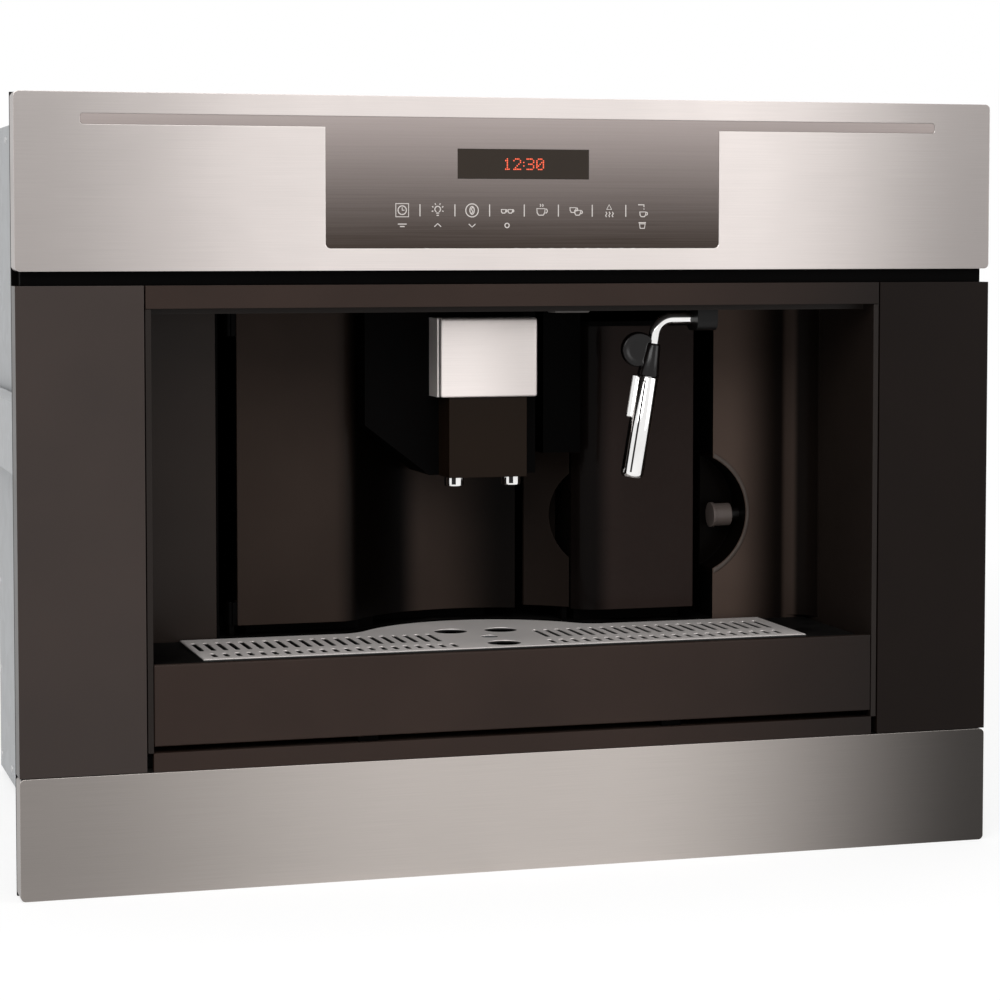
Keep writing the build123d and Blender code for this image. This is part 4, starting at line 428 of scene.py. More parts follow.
def brushed_steel(name, colour, radius=0.6 * MM, metal=1.0, zones=()):
    """Brushed stainless steel with its grain along the front."""
    tree, shader, place = new_material(name, metallic=metal, anisotropic=0.5)
    grain = use_group(tree, "brushed_grain", Vector=place)
    edges = use_group(tree, "soft_edges", Radius=radius)
    marks = use_group(tree, "dust_and_smudges", Vector=place, Scale=12.0)
    toned = in_zones(tree, place, varied(tree, grain["Tone"], colour, darkest=0.93, palest=1.07), zones)
    paint(tree, shader, mix_colour(tree, edges["Mask"], toned, scaled_colour(colour, 1.2)))
    roughen(tree, shader, marks["Smudge"], least=0.31, most=0.36)
    bump(tree, shader, grain["Height"], edges["Normal"], strength=0.12, depth=0.05 * MM)


def coated_panel(name, colour, gloss=0.38, shine=0.4, radius=0.5 * MM, zones=()):
    """Dark coated metal or plastic with a satin skin, worn at its edges."""
    tree, shader, place = new_material(name, specular_ior_level=shine)
    skin = use_group(tree, "moulded_skin", Vector=place)
    edges = use_group(tree, "soft_edges", Radius=radius)
    marks = use_group(tree, "dust_and_smudges", Vector=place, Scale=16.0)
    toned = varied(tree, skin["Tone"], colour, darkest=0.9, palest=1.1)
    wear = maths(tree, "MULTIPLY", edges["Mask"], 0.3)
    worn = mix_colour(tree, wear, toned, scaled_colour(colour, 3.0))
    dusty = mix_colour(tree, maths(tree, "MULTIPLY", marks["Dust"], 0.02), worn, DUST)
    paint(tree, shader, in_zones(tree, place, dusty, zones))
    roughen(tree, shader, marks["Smudge"], least=gloss - 0.02, most=gloss + 0.03)
    bump(tree, shader, skin["Height"], edges["Normal"], strength=0.05, depth=0.03 * MM)


def satin_grid(name, colour, zones):
    """Satin steel of the cup grid, with painted shade in its slots."""
    tree, shader, place = new_material(name, metallic=0.45, specular_ior_level=0.4)
    skin = use_group(tree, "moulded_skin", Vector=place, Scale=700.0)
    edges = use_group(tree, "soft_edges", Radius=0.5 * MM)
    toned = varied(tree, skin["Tone"], colour, darkest=0.94, palest=1.0)
    lit = mix_colour(tree, edges["Mask"], toned, scaled_colour(colour, 1.15))
    paint(tree, shader, in_zones(tree, place, lit, zones))
    roughen(tree, shader, skin["Tone"], least=0.45, most=0.55)
    bump(tree, shader, skin["Height"], edges["Normal"], strength=0.05, depth=0.03 * MM)


def glass_print_and_reflection(name, top, foot):
    """Control glass, dark at its foot and paler towards the groove, partly as print and partly as a painted
    reflection, with a faint grain.
    """
    tree, shader, place = new_material(
        name, specular_ior_level=0.2, coat_weight=0.15, coat_roughness=0.06,
    )
    grain = use_group(tree, "brushed_grain", Vector=place, Length=9.0, Fineness=1400.0)
    edges = use_group(tree, "soft_edges", Radius=0.4 * MM)
    height = add_node(tree, "ShaderNodeSeparateXYZ", {"Vector": place}).outputs["Z"]
    share = maths(tree, "POWER", ramp(tree, height, glass_low.z, glass_high.z), GLASS_FADE)
    lowered = maths(tree, "SUBTRACT", share, GLASS_GRAIN / 2)
    wavy = maths(tree, "MULTIPLY_ADD", grain["Tone"], GLASS_GRAIN, lowered)
    paint(tree, shader, mix_colour(tree, wavy, foot, top))
    roughen(tree, shader, grain["Tone"], least=0.18, most=0.26)
    bump(tree, shader, grain["Height"], edges["Normal"], strength=0.02, depth=0.02 * MM)


def polished_chrome(name):
    """Polished chrome with faint wipe marks."""
    tree, shader, place = new_material(name, metallic=1.0)
    marks = use_group(tree, "dust_and_smudges", Vector=place, Scale=60.0)
    paint(tree, shader, mix_colour(tree, marks["Smudge"], *CHROME_TONES))
    roughen(tree, shader, marks["Smudge"], least=0.05, most=0.11)


def zinc_sheet(name, colour, scale=90.0):
    """Galvanised sheet with its spangle."""
    tree, shader, place = new_material(name, metallic=0.45, specular_ior_level=0.3)
    crystals = use_group(tree, "zinc_spangle", Vector=place, Scale=scale)
    marks = use_group(tree, "dust_and_smudges", Vector=place, Scale=20.0)
    edges = use_group(tree, "soft_edges", Radius=0.5 * MM)
    toned = varied(tree, crystals["Tone"], colour, darkest=0.92, palest=1.07)
    paint(tree, shader, mix_colour(tree, maths(tree, "MULTIPLY", marks["Dust"], 0.2), toned, DUST))
    roughen(tree, shader, crystals["Tone"], least=0.56, most=0.7)
    bump(tree, shader, marks["Smudge"], edges["Normal"], strength=0.04, depth=0.1 * MM)


def dark_gloss(name, colour, gloss=0.12, shine=0.25, zones=()):
    """Smooth dark plastic with a clear surface."""
    tree, shader, place = new_material(
        name, specular_ior_level=shine, coat_weight=0.04, coat_roughness=0.1,
    )
    skin = use_group(tree, "moulded_skin", Vector=place, Scale=300.0)
    edges = use_group(tree, "soft_edges", Radius=0.8 * MM)
    marks = use_group(tree, "dust_and_smudges", Vector=place, Scale=24.0)
    toned = varied(tree, skin["Tone"], colour, darkest=0.9, palest=1.1)
    paint(tree, shader, in_zones(tree, place, toned, zones))
    roughen(tree, shader, marks["Smudge"], least=gloss, most=gloss + 0.08)
    bump(tree, shader, skin["Height"], edges["Normal"], strength=0.01, depth=0.03 * MM)


def clear_lens(name):
    """Frosted cover of the cavity light."""
    tree, shader, place = new_material(name, roughness=0.45, transmission_weight=0.2)
    skin = use_group(tree, "moulded_skin", Vector=place, Scale=900.0)
    edges = use_group(tree, "soft_edges", Radius=0.4 * MM)
    paint(tree, shader, mix_colour(tree, skin["Tone"], *LENS_TONES))
    bump(tree, shader, skin["Height"], edges["Normal"], strength=0.2, depth=0.05 * MM)


def circuit_board(name):
    """Green board with tracks and pale pads."""
    tree, shader, place = new_material(name, roughness=0.35)
    split = add_node(tree, "ShaderNodeSeparateXYZ", {"Vector": place}).outputs
    sockets = {"X": maths(tree, "ADD", split["X"], split["Y"]), "Y": split["Z"]}
    flat = add_node(tree, "ShaderNodeCombineXYZ", sockets).outputs[0]
    tracks = add_node(tree, "ShaderNodeTexBrick", {"Vector": flat, "Scale": 60.0, "Mortar Size": 0.02})
    pads = add_node(tree, "ShaderNodeTexVoronoi", {"Vector": flat, "Scale": 240.0})
    pad_mask = maths(tree, "LESS_THAN", pads.outputs["Distance"], PAD_SIZE)
    base = mix_colour(tree, tracks.outputs["Fac"], *BOARD_TONES)
    paint(tree, shader, mix_colour(tree, pad_mask, base, PAD_GOLD))
    tree.links.new(maths(tree, "MULTIPLY", pad_mask, PAD_METAL), shader.inputs["Metallic"])


def lit_digits(name, colour):
    """Glowing dots of the clock."""
    tree, shader, place = new_material(name, roughness=0.5, emission_strength=0.75)
    glow = varied(tree, scattered(tree, place, 700.0), colour, darkest=0.7, palest=1.0)
    tree.links.new(glow, shader.inputs["Emission Color"])
    paint(tree, shader, glow)


def pale_print(name):
    """Pale print of the key marks."""
    tree, shader, place = new_material(name, roughness=0.5)
    skin = use_group(tree, "moulded_skin", Vector=place, Scale=2500.0)
    paint(tree, shader, mix_colour(tree, skin["Tone"], *PRINT_TONES))


# ------------------------------------------------------------------ helpers for pieces
WELD = 0.001 * MM                               # points nearer than this become one
EDGE_TURN = radians(30)                         # an edge that turns more than this gets rounded
# a piece is shaded smooth up to the angle of its kind
FOLDED = radians(35)
TURNED = radians(40)
STROKED = radians(50)
DOMED = radians(60)


def finish_piece(made, body, replaced=(), smooth_angle=None):
    """A finished piece is smoothed and joins its body."""
    if smooth_angle is not None:
        for face in made.data.polygons:
            face.use_smooth = True
        made.data.set_sharp_from_angle(angle=smooth_angle)
    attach(made, body)
    if replaced:
        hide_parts(*replaced)


def piece_from_bmesh(mesh, name, materials):
    """An object at the origin from a bmesh, faces outward."""
    bmesh.ops.remove_doubles(mesh, verts=mesh.verts, dist=WELD)
    bmesh.ops.recalc_face_normals(mesh, faces=mesh.faces)
    data = bpy.data.meshes.new(name)
    mesh.to_mesh(data)
    mesh.free()
    made = bpy.data.objects.new(name, data)
    bpy.context.scene.collection.objects.link(made)
    for material in materials:
        data.materials.append(bpy.data.materials[material])
    return made


def applied_copy(source, name):
    """The evaluated object as a plain mesh at the origin; the source goes."""
    graph = bpy.context.evaluated_depsgraph_get()
    data = bpy.data.meshes.new_from_object(source.evaluated_get(graph))
    data.transform(source.matrix_world)
    bpy.data.objects.remove(source)
    made = bpy.data.objects.new(name, data)
    bpy.context.scene.collection.objects.link(made)
    return made


def tube_curve(name, lines, radius, closed=(), resolution=2):
    """A curve object with a round section along each line of points."""
    data = bpy.data.curves.new(name, "CURVE")
    data.dimensions = "3D"
    data.bevel_depth = radius
    data.bevel_resolution = resolution
    data.use_fill_caps = True
    for index, points in enumerate(lines):
        spline = data.splines.new("POLY")
        spline.points.add(len(points) - 1)
        for point, place in zip(spline.points, points):
            point.co = (*place, 1.0)
        spline.use_cyclic_u = index in closed
    made = bpy.data.objects.new(name, data)
    bpy.context.scene.collection.objects.link(made)
    return made


def round_edges(mesh, width, segments, keep=None):
    """Sharp edges rounded; keep says which edges stay sharp."""
    bmesh.ops.recalc_face_normals(mesh, faces=mesh.faces)
    pairs = [edge for edge in mesh.edges if len(edge.link_faces) == 2]
    sharp = [edge for edge in pairs if edge.calc_face_angle(0) > EDGE_TURN]
    edges = [edge for edge in sharp if keep is None or not keep(edge)]
    bmesh.ops.bevel(
        mesh, geom=edges, offset=width, segments=segments, profile=0.5, affect="EDGES", clamp_overlap=True,
    )


def prism(mesh, outline, axis, start, end, material=0):
    """A solid with one outline, from start to end along an axis."""
    def place(point, depth):
        """A point of the outline at its depth."""
        point = list(point)
        point.insert(axis, depth)
        return Vector(point) * MM

    rings = [[mesh.verts.new(place(point, depth)) for point in outline] for depth in (start, end)]
    faces = [mesh.faces.new(rings[0]), mesh.faces.new(list(reversed(rings[1])))]
    for index in range(len(outline)):
        after = (index + 1) % len(outline)
        faces.append(mesh.faces.new((rings[0][after], rings[0][index], rings[1][index], rings[1][after])))
    for face in faces:
        face.material_index = material


def rectangle(low, high):
    """The four corners between two opposite ones."""
    return [(low[0], low[1]), (high[0], low[1]), (high[0], high[1]), (low[0], high[1])]


def arch(low, high, wall):
    """Section of a cover that is open below: two sides and a top."""
    return [
        (low[0], low[1]), (low[0], high[1]), (high[0], high[1]), (high[0], low[1]),
        (high[0] - wall, low[1]), (high[0] - wall, high[1] - wall),
        (low[0] + wall, high[1] - wall), (low[0] + wall, low[1]),
    ]


def across_axis(axis):
    """An axis of length 1 and two directions square to it."""
    axis = Vector(axis).normalized()
    side = axis.orthogonal().normalized()
    return axis, side, axis.cross(side)


def turns_of(segments):
    """Even angles round a full turn."""
    return [2 * pi * step / segments for step in range(segments)]


def lathe(mesh, profile, origin, axis, segments):
    """A turned solid: profile points are (place along the axis, radius)."""
    axis, side, across = across_axis(axis)
    rings = []
    for along, radius in profile:
        centre = Vector(origin) + axis * along
        if radius == 0:
            rings.append([mesh.verts.new(centre * MM)])
            continue
        arms = [side * cos(angle) + across * sin(angle) for angle in turns_of(segments)]
        rings.append([mesh.verts.new((centre + arm * radius) * MM) for arm in arms])
    for first, second in zip(rings, rings[1:]):
        for step in range(segments):
            after = (step + 1) % segments
            corners = [first[step % len(first)], first[after % len(first)]]
            corners += [second[after % len(second)], second[step % len(second)]]
            mesh.faces.new(list(dict.fromkeys(corners)))
    for ring in (rings[0], rings[-1]):
        if len(ring) > 1:
            mesh.faces.new(ring)


def lathe_ring(mesh, profile, origin, axis, segments=40):
    """A turned ring: the profile closes on itself and never meets the axis."""
    axis, side, across = across_axis(axis)
    rings = []
    for angle in turns_of(segments):
        arm = side * cos(angle) + across * sin(angle)
        rings.append([mesh.verts.new((Vector(origin) + axis * a + arm * r) * MM) for a, r in profile])
    for first, second in zip(rings, rings[1:] + rings[:1]):
        for index in range(len(profile)):
            after = (index + 1) % len(profile)
            mesh.faces.new((first[index], first[after], second[after], second[index]))


def rounded_corner(before, corner, after, radius, steps=14):
    """Points of a bend between two straight runs."""
    into = (corner - before).normalized()
    out = (after - corner).normalized()
    turn = into.angle(out)
    reach = radius * tan(turn / 2)
    start = corner - into * reach
    centre = corner + (out - into).normalized() * radius / cos(turn / 2)
    normal = into.cross(out).normalized()
    arm = start - centre
    return [centre + Matrix.Rotation(turn * step / steps, 3, normal) @ arm for step in range(steps + 1)]


def arc(centre, radius, start, end, steps=12):
    """Points on an arc, angles in degrees."""
    angles = [radians(start + (end - start) * step / steps) for step in range(steps + 1)]
    return [(centre[0] + radius * cos(a), centre[1] + radius * sin(a)) for a in angles]


# ------------------------------------------------------------------ key marks on the glass, in millimetres
KEY_XS = (-74.8, -53.6, -32.9, -11.7, 9.3, 30.1, 51.1, 71.8)
KEY_Z = 389.4
LABEL_Z = 380.7
DIVIDER_H = 7.0
PRINT_T = 0.06


def circle(radius, steps):
    """A closed ring of points."""
    return arc((0, 0), radius, 0, 360, steps)[:-1]


def mark_timer():
    """A square with a clock in it."""
    hands = [(0, 1.6), (0, 0), (1.3, 0)]
    return [(rectangle((-3.8, -3.8), (3.8, 3.8)), True), (circle(2.5, 20), True), (hands, False)]


def mark_lamp():
    """A lamp with rays."""
    middle = (0, 0.6)
    rays = [
        ([arc(middle, radius, degree, degree, 1)[0] for radius in (2.8, 3.8)], False)
        for degree in (-20, 25, 65, 115, 155, 200)
    ]
    foot = [([(-reach, z), (reach, z)], False) for reach, z in ((0.9, -1.6), (0.7, -2.9))]
    return [(arc(middle, 1.7, -60, 240, 16), False), *foot, *rays]


def mark_bean():
    """A bean in a ring."""
    bean = [(x * 1.3, z * 2.3) for x, z in circle(1, 20)]
    crease = [(0.4, 2.0), (-0.4, 0.7), (0.4, -0.7), (-0.4, -2.0)]
    return [(circle(3.8, 28), True), (bean, True), (crease, False)]


def mark_cup(x=0.0, z=0.0, size=1.0):
    """A cup with its ear."""
    bowl = [(-2.2, 1.5), (-2.0, -0.6), (-1.2, -1.8), (1.2, -1.8), (2.0, -0.6), (2.2, 1.5)]
    ear = arc((2.3, 0.3), 1.1, 75, -80, 8)
    lines = ((bowl, True), (ear, False))
    return [([(x + a * size, z + b * size) for a, b in line], closed) for line, closed in lines]


def mark_two_small():
    """Two small cups side by side."""
    return mark_cup(-2.1, -0.4, 0.62) + mark_cup(2.0, -0.4, 0.62)


def mark_large():
    """A cup with two strands of steam."""
    steam = [([(x, 2.3), (x + 0.5, 3.0), (x, 3.8)], False) for x in (-0.8, 0.6)]
    return mark_cup(-0.3, -0.6, 1.15) + steam


def mark_two_cups():
    """Two cups, one behind the other."""
    return mark_cup(-1.4, 0.5, 0.85) + mark_cup(1.5, -1.1, 0.85)


def mark_steam():
    """A nozzle with three strands of steam."""
    wave = ((0, -0.6), (0.6, -1.7), (-0.2, -2.7), (0.4, -3.7))
    strands = [([(x + a, z) for a, z in wave], False) for x in (-2.0, 0.0, 2.0)]
    return [([(-1.5, 0.8), (0, 3.6), (1.5, 0.8)], True), *strands]


def mark_water():
    """A tap over a cup."""
    tap = ([(-2.6, 3.6), (1.0, 3.6), (1.0, 2.2)], False)
    drop = ([(1.0, 1.4), (1.0, 0.8)], False)
    return [tap, drop] + mark_cup(0.3, -1.9, 0.85)


def mark_bars():
    """Two level bars."""
    return [([(-2.6, 0.7), (2.6, 0.7)], False), ([(-1.4, -0.7), (1.4, -0.7)], False)]


def mark_chevron(turn):
    """A chevron that points up or down."""
    return [([(-2.0, -0.8 * turn), (0, 1.0 * turn), (2.0, -0.8 * turn)], False)]


def mark_pot():
    """A small pot with its lid."""
    pot = [(-1.8, 1.0), (-1.3, -1.6), (1.3, -1.6), (1.8, 1.0)]
    lid = [(-2.3, 1.7), (2.3, 1.7)]
    return [(pot, True), (lid, False)]


def mark_ring():
    """A plain ring."""
    return [(circle(1.3, 16), True)]


UPPER_MARKS = (
    mark_timer, mark_lamp, mark_bean, mark_two_small, mark_large, mark_two_cups, mark_steam, mark_water,
)
LOWER_MARKS = {0: mark_bars(), 1: mark_chevron(1), 2: mark_chevron(-1), 3: mark_ring(), 7: mark_pot()}
# lit dots of each digit, row by row from the top
DIGIT_ROWS = {
    "0": ("01110", "10001", "10011", "10101", "11001", "10001", "01110"),
    "1": ("00100", "01100", "00100", "00100", "00100", "00100", "01110"),
    "2": ("01110", "10001", "00001", "00010", "00100", "01000", "11111"),
    "3": ("11110", "00001", "00001", "01110", "00001", "00001", "11110"),
    ":": ("0", "0", "1", "0", "1", "0", "0"),
}


def flattened_print(source, name, face_y):
    """Round strokes pressed to a thin print on a face that looks forward."""
    made = applied_copy(source, name)
    radius = max(abs(vertex.co.y) for vertex in made.data.vertices)
    half = PRINT_T / 2 * MM
    for vertex in made.data.vertices:
        vertex.co.y = face_y - half + vertex.co.y / radius * half
    return made


class COFFEE_OT_marks(bpy.types.Operator):
    """Draw the key marks on the control glass."""

    bl_idname = "coffee.marks"
    bl_label = "Key Marks"

    def execute(self, context):
        lines, closed = [], set()
        for index, (x, mark) in enumerate(zip(KEY_XS, UPPER_MARKS)):
            strokes = [(line, loop, KEY_Z) for line, loop in mark()]
            strokes += [(line, loop, LABEL_Z) for line, loop in LOWER_MARKS.get(index, [])]
            for line, loop, z in strokes:
                if loop:
                    closed.add(len(lines))
                lines.append([Vector((x + a, 0, z + b)) * MM for a, b in line])
        for low, high in zip(KEY_XS, KEY_XS[1:]):
            middle = (low + high) / 2
            lines.append([Vector((middle, 0, KEY_Z + end * DIVIDER_H / 2)) * MM for end in SIDES])
        width = context.scene.coffee_pieces.mark_line
        strokes = tube_curve("mark_strokes", lines, width / 2, closed)
        made = flattened_print(strokes, "key_marks", glass_low.y)
        made.data.materials.append(bpy.data.materials["pale_print"])
        finish_piece(made, "machine", smooth_angle=STROKED)
        return {"FINISHED"}


# ------------------------------------------------------------------ clock, in millimetres
DOT_SIDES = 12
DOT_T = 0.05
DOT_RISE = 0.03


def new_points_tree(name, inputs):
    """A node tree that takes points, with its named inputs, and the outputs that give them."""
    tree = bpy.data.node_groups.new(name, "GeometryNodeTree")
    for title, kind in (("Geometry", "Geometry"), *inputs, ("Material", "Material")):
        tree.interface.new_socket(name=title, in_out="INPUT", socket_type=f"NodeSocket{kind}")
    tree.interface.new_socket(name="Geometry", in_out="OUTPUT", socket_type="NodeSocketGeometry")
    return tree, tree.nodes.new("NodeGroupInput").outputs


def end_points_tree(tree, given, shape, **more):
    """The shape on every point, made real and given its material, as the tree's result."""
    sockets = {"Points": given["Geometry"], "Instance": shape, **more}
    placed = add_node(tree, "GeometryNodeInstanceOnPoints", sockets)
    real = add_node(tree, "GeometryNodeRealizeInstances", {"Geometry": placed.outputs[0]})
    finish = {"Geometry": real.outputs[0], "Material": given["Material"]}
    painted = add_node(tree, "GeometryNodeSetMaterial", finish)
    tree.links.new(painted.outputs[0], tree.nodes.new("NodeGroupOutput").inputs["Geometry"])
    return tree


def dots_tree():
    """Geometry nodes: a flat disc on every point, which looks forward."""
    tree, given = new_points_tree("dot_matrix", (("Radius", "Float"), ("Thickness", "Float")))
    sizes = {"Radius": given["Radius"], "Depth": given["Thickness"], "Vertices": DOT_SIDES}
    disc = add_node(tree, "GeometryNodeMeshCylinder", sizes)
    upright = {"Geometry": disc.outputs["Mesh"], "Rotation": (pi / 2, 0, 0)}
    turned = add_node(tree, "GeometryNodeTransform", upright)
    return end_points_tree(tree, given, turned.outputs[0])


def points_object(name, points):
    """An object that holds only points."""
    data = bpy.data.meshes.new(name)
    data.from_pydata([Vector(point) * MM for point in points], [], [])
    made = bpy.data.objects.new(name, data)
    bpy.context.scene.collection.objects.link(made)
    return made


def dressed_points(points, tree, name, values):
    """Points turned into one plain mesh by a node tree."""
    source = points_object(name + "_points", points)
    modifier = source.modifiers.new("nodes", "NODES")
    modifier.node_group = tree
    for item in tree.interface.items_tree:
        if item.item_type == "SOCKET" and item.in_out == "INPUT" and item.name in values:
            modifier[item.identifier] = values[item.name]
    return applied_copy(source, name)


class COFFEE_OT_clock(bpy.types.Operator):
    """Light the dots of the clock."""

    bl_idname = "coffee.clock"
    bl_label = "Clock"

    def execute(self, context):
        settings = context.scene.coffee_pieces
        pitch = settings.dot_pitch / MM
        columns = sum(len(DIGIT_ROWS[letter][0]) + 1 for letter in settings.clock) - 1
        middle = (window_low + window_high) / 2 / MM
        left = middle.x - (columns - 1) * pitch / 2
        face = glass_low.y / MM - DOT_RISE
        points = []
        for letter in settings.clock:
            rows = DIGIT_ROWS[letter]
            for row, line in enumerate(rows):
                z = middle.z + ((len(rows) - 1) / 2 - row) * pitch
                lit = [left + column * pitch for column, dot in enumerate(line) if dot == "1"]
                points += [(x, face, z) for x in lit]
            left += (len(rows[0]) + 1) * pitch
        values = {
            "Radius": settings.dot_radius, "Thickness": DOT_T * MM,
            "Material": bpy.data.materials["lit_digits"],
        }
        made = dressed_points(points, dots_tree(), "clock_dots", values)
        finish_piece(made, "machine")
        return {"FINISHED"}


# ------------------------------------------------------------------ spout, in millimetres
FACE_T = 1.5
FACE_ROUND = FACE_T
JOINT_DEPTH = 7.0
JOINT_INSET = 1.0
JOINT_LIFT = 0.2
COVER_WALL = 1.5
JOINT_WALL = COVER_WALL - JOINT_INSET
NOZZLE_R = 6.0
BORE_R = 3.6
# dark bar down the front of each nozzle: a painted reflection of the dark cavity
NOZZLE_LINE_W = 2.6
NOZZLE_LINE_ENDS = (1.4, 0.4)
NOZZLE_LINE_TURN = Vector((-0.28, -0.96, 0))
REFLECTION_BAR_SINK = 0.5
REFLECTION_BAR_RISE = 0.12


def reflection_bar(mesh, start, end, outward, radius, width):
    """A dark bar on a round surface, from start to end on its axis: a painted reflection of dark surroundings."""
    across = (end - start).normalized().cross(outward)
    corners = [
        along + outward * (radius + rise) + across * side * width / 2
        for along in (start, end) for rise in (-REFLECTION_BAR_SINK, REFLECTION_BAR_RISE) for side in SIDES
    ]
    verts = [mesh.verts.new(corner * MM) for corner in corners]
    for loop in ((0, 1, 3, 2), (4, 6, 7, 5), (0, 4, 5, 1), (2, 3, 7, 6), (0, 2, 6, 4), (1, 5, 7, 3)):
        mesh.faces.new([verts[index] for index in loop]).material_index = 1


def spout_shell():
    """The folded steel cover: a face with round edges, a set-in gap behind it painted black as shade, and the box.
    """
    low, high = cover_low / MM, cover_high / MM
    mesh = bmesh.new()
    prism(mesh, rectangle((low.x, low.z), (high.x, high.z)), 1, low.y, low.y + FACE_T)
    middle = (low.y + FACE_T / 2) * MM
    round_edges(mesh, FACE_ROUND * MM, 4, keep=lambda edge: all(v.co.y > middle for v in edge.verts))
    joint = low.y + FACE_T
    inner_low = (low.x + JOINT_INSET, low.z + JOINT_LIFT)
    inner_high = (high.x - JOINT_INSET, high.z - JOINT_INSET)
    # the set-in gap is real; its black is painted shade
    prism(mesh, arch(inner_low, inner_high, JOINT_WALL), 1, joint, joint + JOINT_DEPTH, 1)
    prism(mesh, arch((low.x, low.z), (high.x, high.z), COVER_WALL), 1, joint + JOINT_DEPTH, high.y)
    made = piece_from_bmesh(mesh, "spout_shell", ("steel_spout", "black_plastic"))
    finish_piece(made, "door", ["spout_cover"], FOLDED)


def spout_tips():
    """The two bored nozzles, each with a dark bar down its front as a painted reflection."""
    low, high = nozzle_low / MM, nozzle_high / MM
    length = high.z - low.z
    profile = [
        (0.4, BORE_R), (length, BORE_R), (length, NOZZLE_R), (1.2, NOZZLE_R),
        (0.5, NOZZLE_R - 0.2), (0.1, 5.2), (0.0, 4.6), (0.1, 4.0),
    ]
    mesh = bmesh.new()
    for x in (low.x + NOZZLE_R, high.x - NOZZLE_R):
        centre = Vector((x, (low.y + high.y) / 2, low.z))
        lathe_ring(mesh, profile, centre, (0, 0, 1))
        start = centre + Vector((0, 0, NOZZLE_LINE_ENDS[0]))
        end = centre + Vector((0, 0, length - NOZZLE_LINE_ENDS[1]))
        reflection_bar(mesh, start, end, NOZZLE_LINE_TURN, NOZZLE_R, NOZZLE_LINE_W)
    made = piece_from_bmesh(mesh, "spout_tips", ("chrome", "grip_plastic"))
    finish_piece(made, "spout", ["spout_nozzles"], TURNED)


class COFFEE_OT_spout(bpy.types.Operator):
    """Build the folded steel cover of the spout and its nozzles."""

    bl_idname = "coffee.spout"
    bl_label = "Spout"

    def execute(self, context):
        spout_shell()
        spout_tips()
        return {"FINISHED"}


# ------------------------------------------------------------------ steam wand, in millimetres
WAND_BEND_REACH = 22.8
WAND_R = 3.5
WAND_BEND_R = 11.0
GRIP_TOP = 15.5
GRIP_FOOT = 36.0
PIPE_SINK = 34.0
SLEEVE_GAP = 0.3
SLEEVE_FOOT = 98.0
SLEEVE_R = 7.0
DISC_ALONG = 20.5
DISC_ASIDE = 9.0
DISC_R = 10.6
DISC_T = 5.8
AIR_ASIDE = 8.3
AIR_R = 1.8
AIR_FOOT = 62.0
AIR_PINS = (3.0, 20.0)
AIR_PIN_R = 0.8
AIR_PIN_ASIDE = 6.2
AIR_PIN_L = 3.0
# dark bar down the sleeve: a painted reflection of the dark cavity walls
LINE_W = 1.1
LINE_TURN = radians(28)
LINE_ENDS = (2.0, 3.0)


def wand_frame():
    """The bend of the wand, the way down along it, and the way aside."""
    down = Vector(joint_at["frother_pull"]["axis"])
    start = Vector(joint_at["wand_swing"]["pos_m"]) / MM
    return start - Vector((WAND_BEND_REACH, 0, 0)), down, Vector((down.z, 0, -down.x))


def wand_pipe():
    """The bent chrome tube, from its bracket down into the grip."""
    bend, down = wand_frame()[:2]
    start = bend + Vector((WAND_BEND_REACH, 0, 0))
    end = bend + down * (GRIP_FOOT + PIPE_SINK)
    path = [start, *rounded_corner(start, bend, end, WAND_BEND_R), end]
    line = tube_curve("wand_line", [[point * MM for point in path]], WAND_R * MM, resolution=7)
    tube = applied_copy(line, "wand_pipe")
    tube.data.materials.append(bpy.data.materials["chrome"])
    finish_piece(tube, "wand", ["wand_tube"], TURNED)


def wand_handle():
    """The dark grip and the thumb disc at its side."""
    bend, down, aside = wand_frame()
    length = GRIP_FOOT - GRIP_TOP
    grip = [
        (0, WAND_R), (0, 3.9), (0.4, 4.5), (1.2, 4.8), (length / 2, 5.6),
        (length - 1.4, 6.7), (length - 0.4, 6.5), (length, 5.9), (length, WAND_R),
    ]
    dished = [(0, 0), (0.9, 5.0), (0.7, 7.0), (0.1, 8.6), (0.1, 9.5), (0.5, 10.2), (1.2, DISC_R)]
    back = [(DISC_T - 1.2, DISC_R), (DISC_T - 0.5, 10.2), (DISC_T, 9.4), (DISC_T, 0)]
    front = bend + down * DISC_ALONG + aside * DISC_ASIDE - Vector((0, DISC_T / 2, 0))
    mesh = bmesh.new()
    lathe_ring(mesh, grip, bend + down * GRIP_TOP, down)
    lathe(mesh, dished + back, front, (0, 1, 0), segments=56)
    made = piece_from_bmesh(mesh, "wand_handle", ("grip_plastic",))
    finish_piece(made, "wand", ["wand_grip"], TURNED)


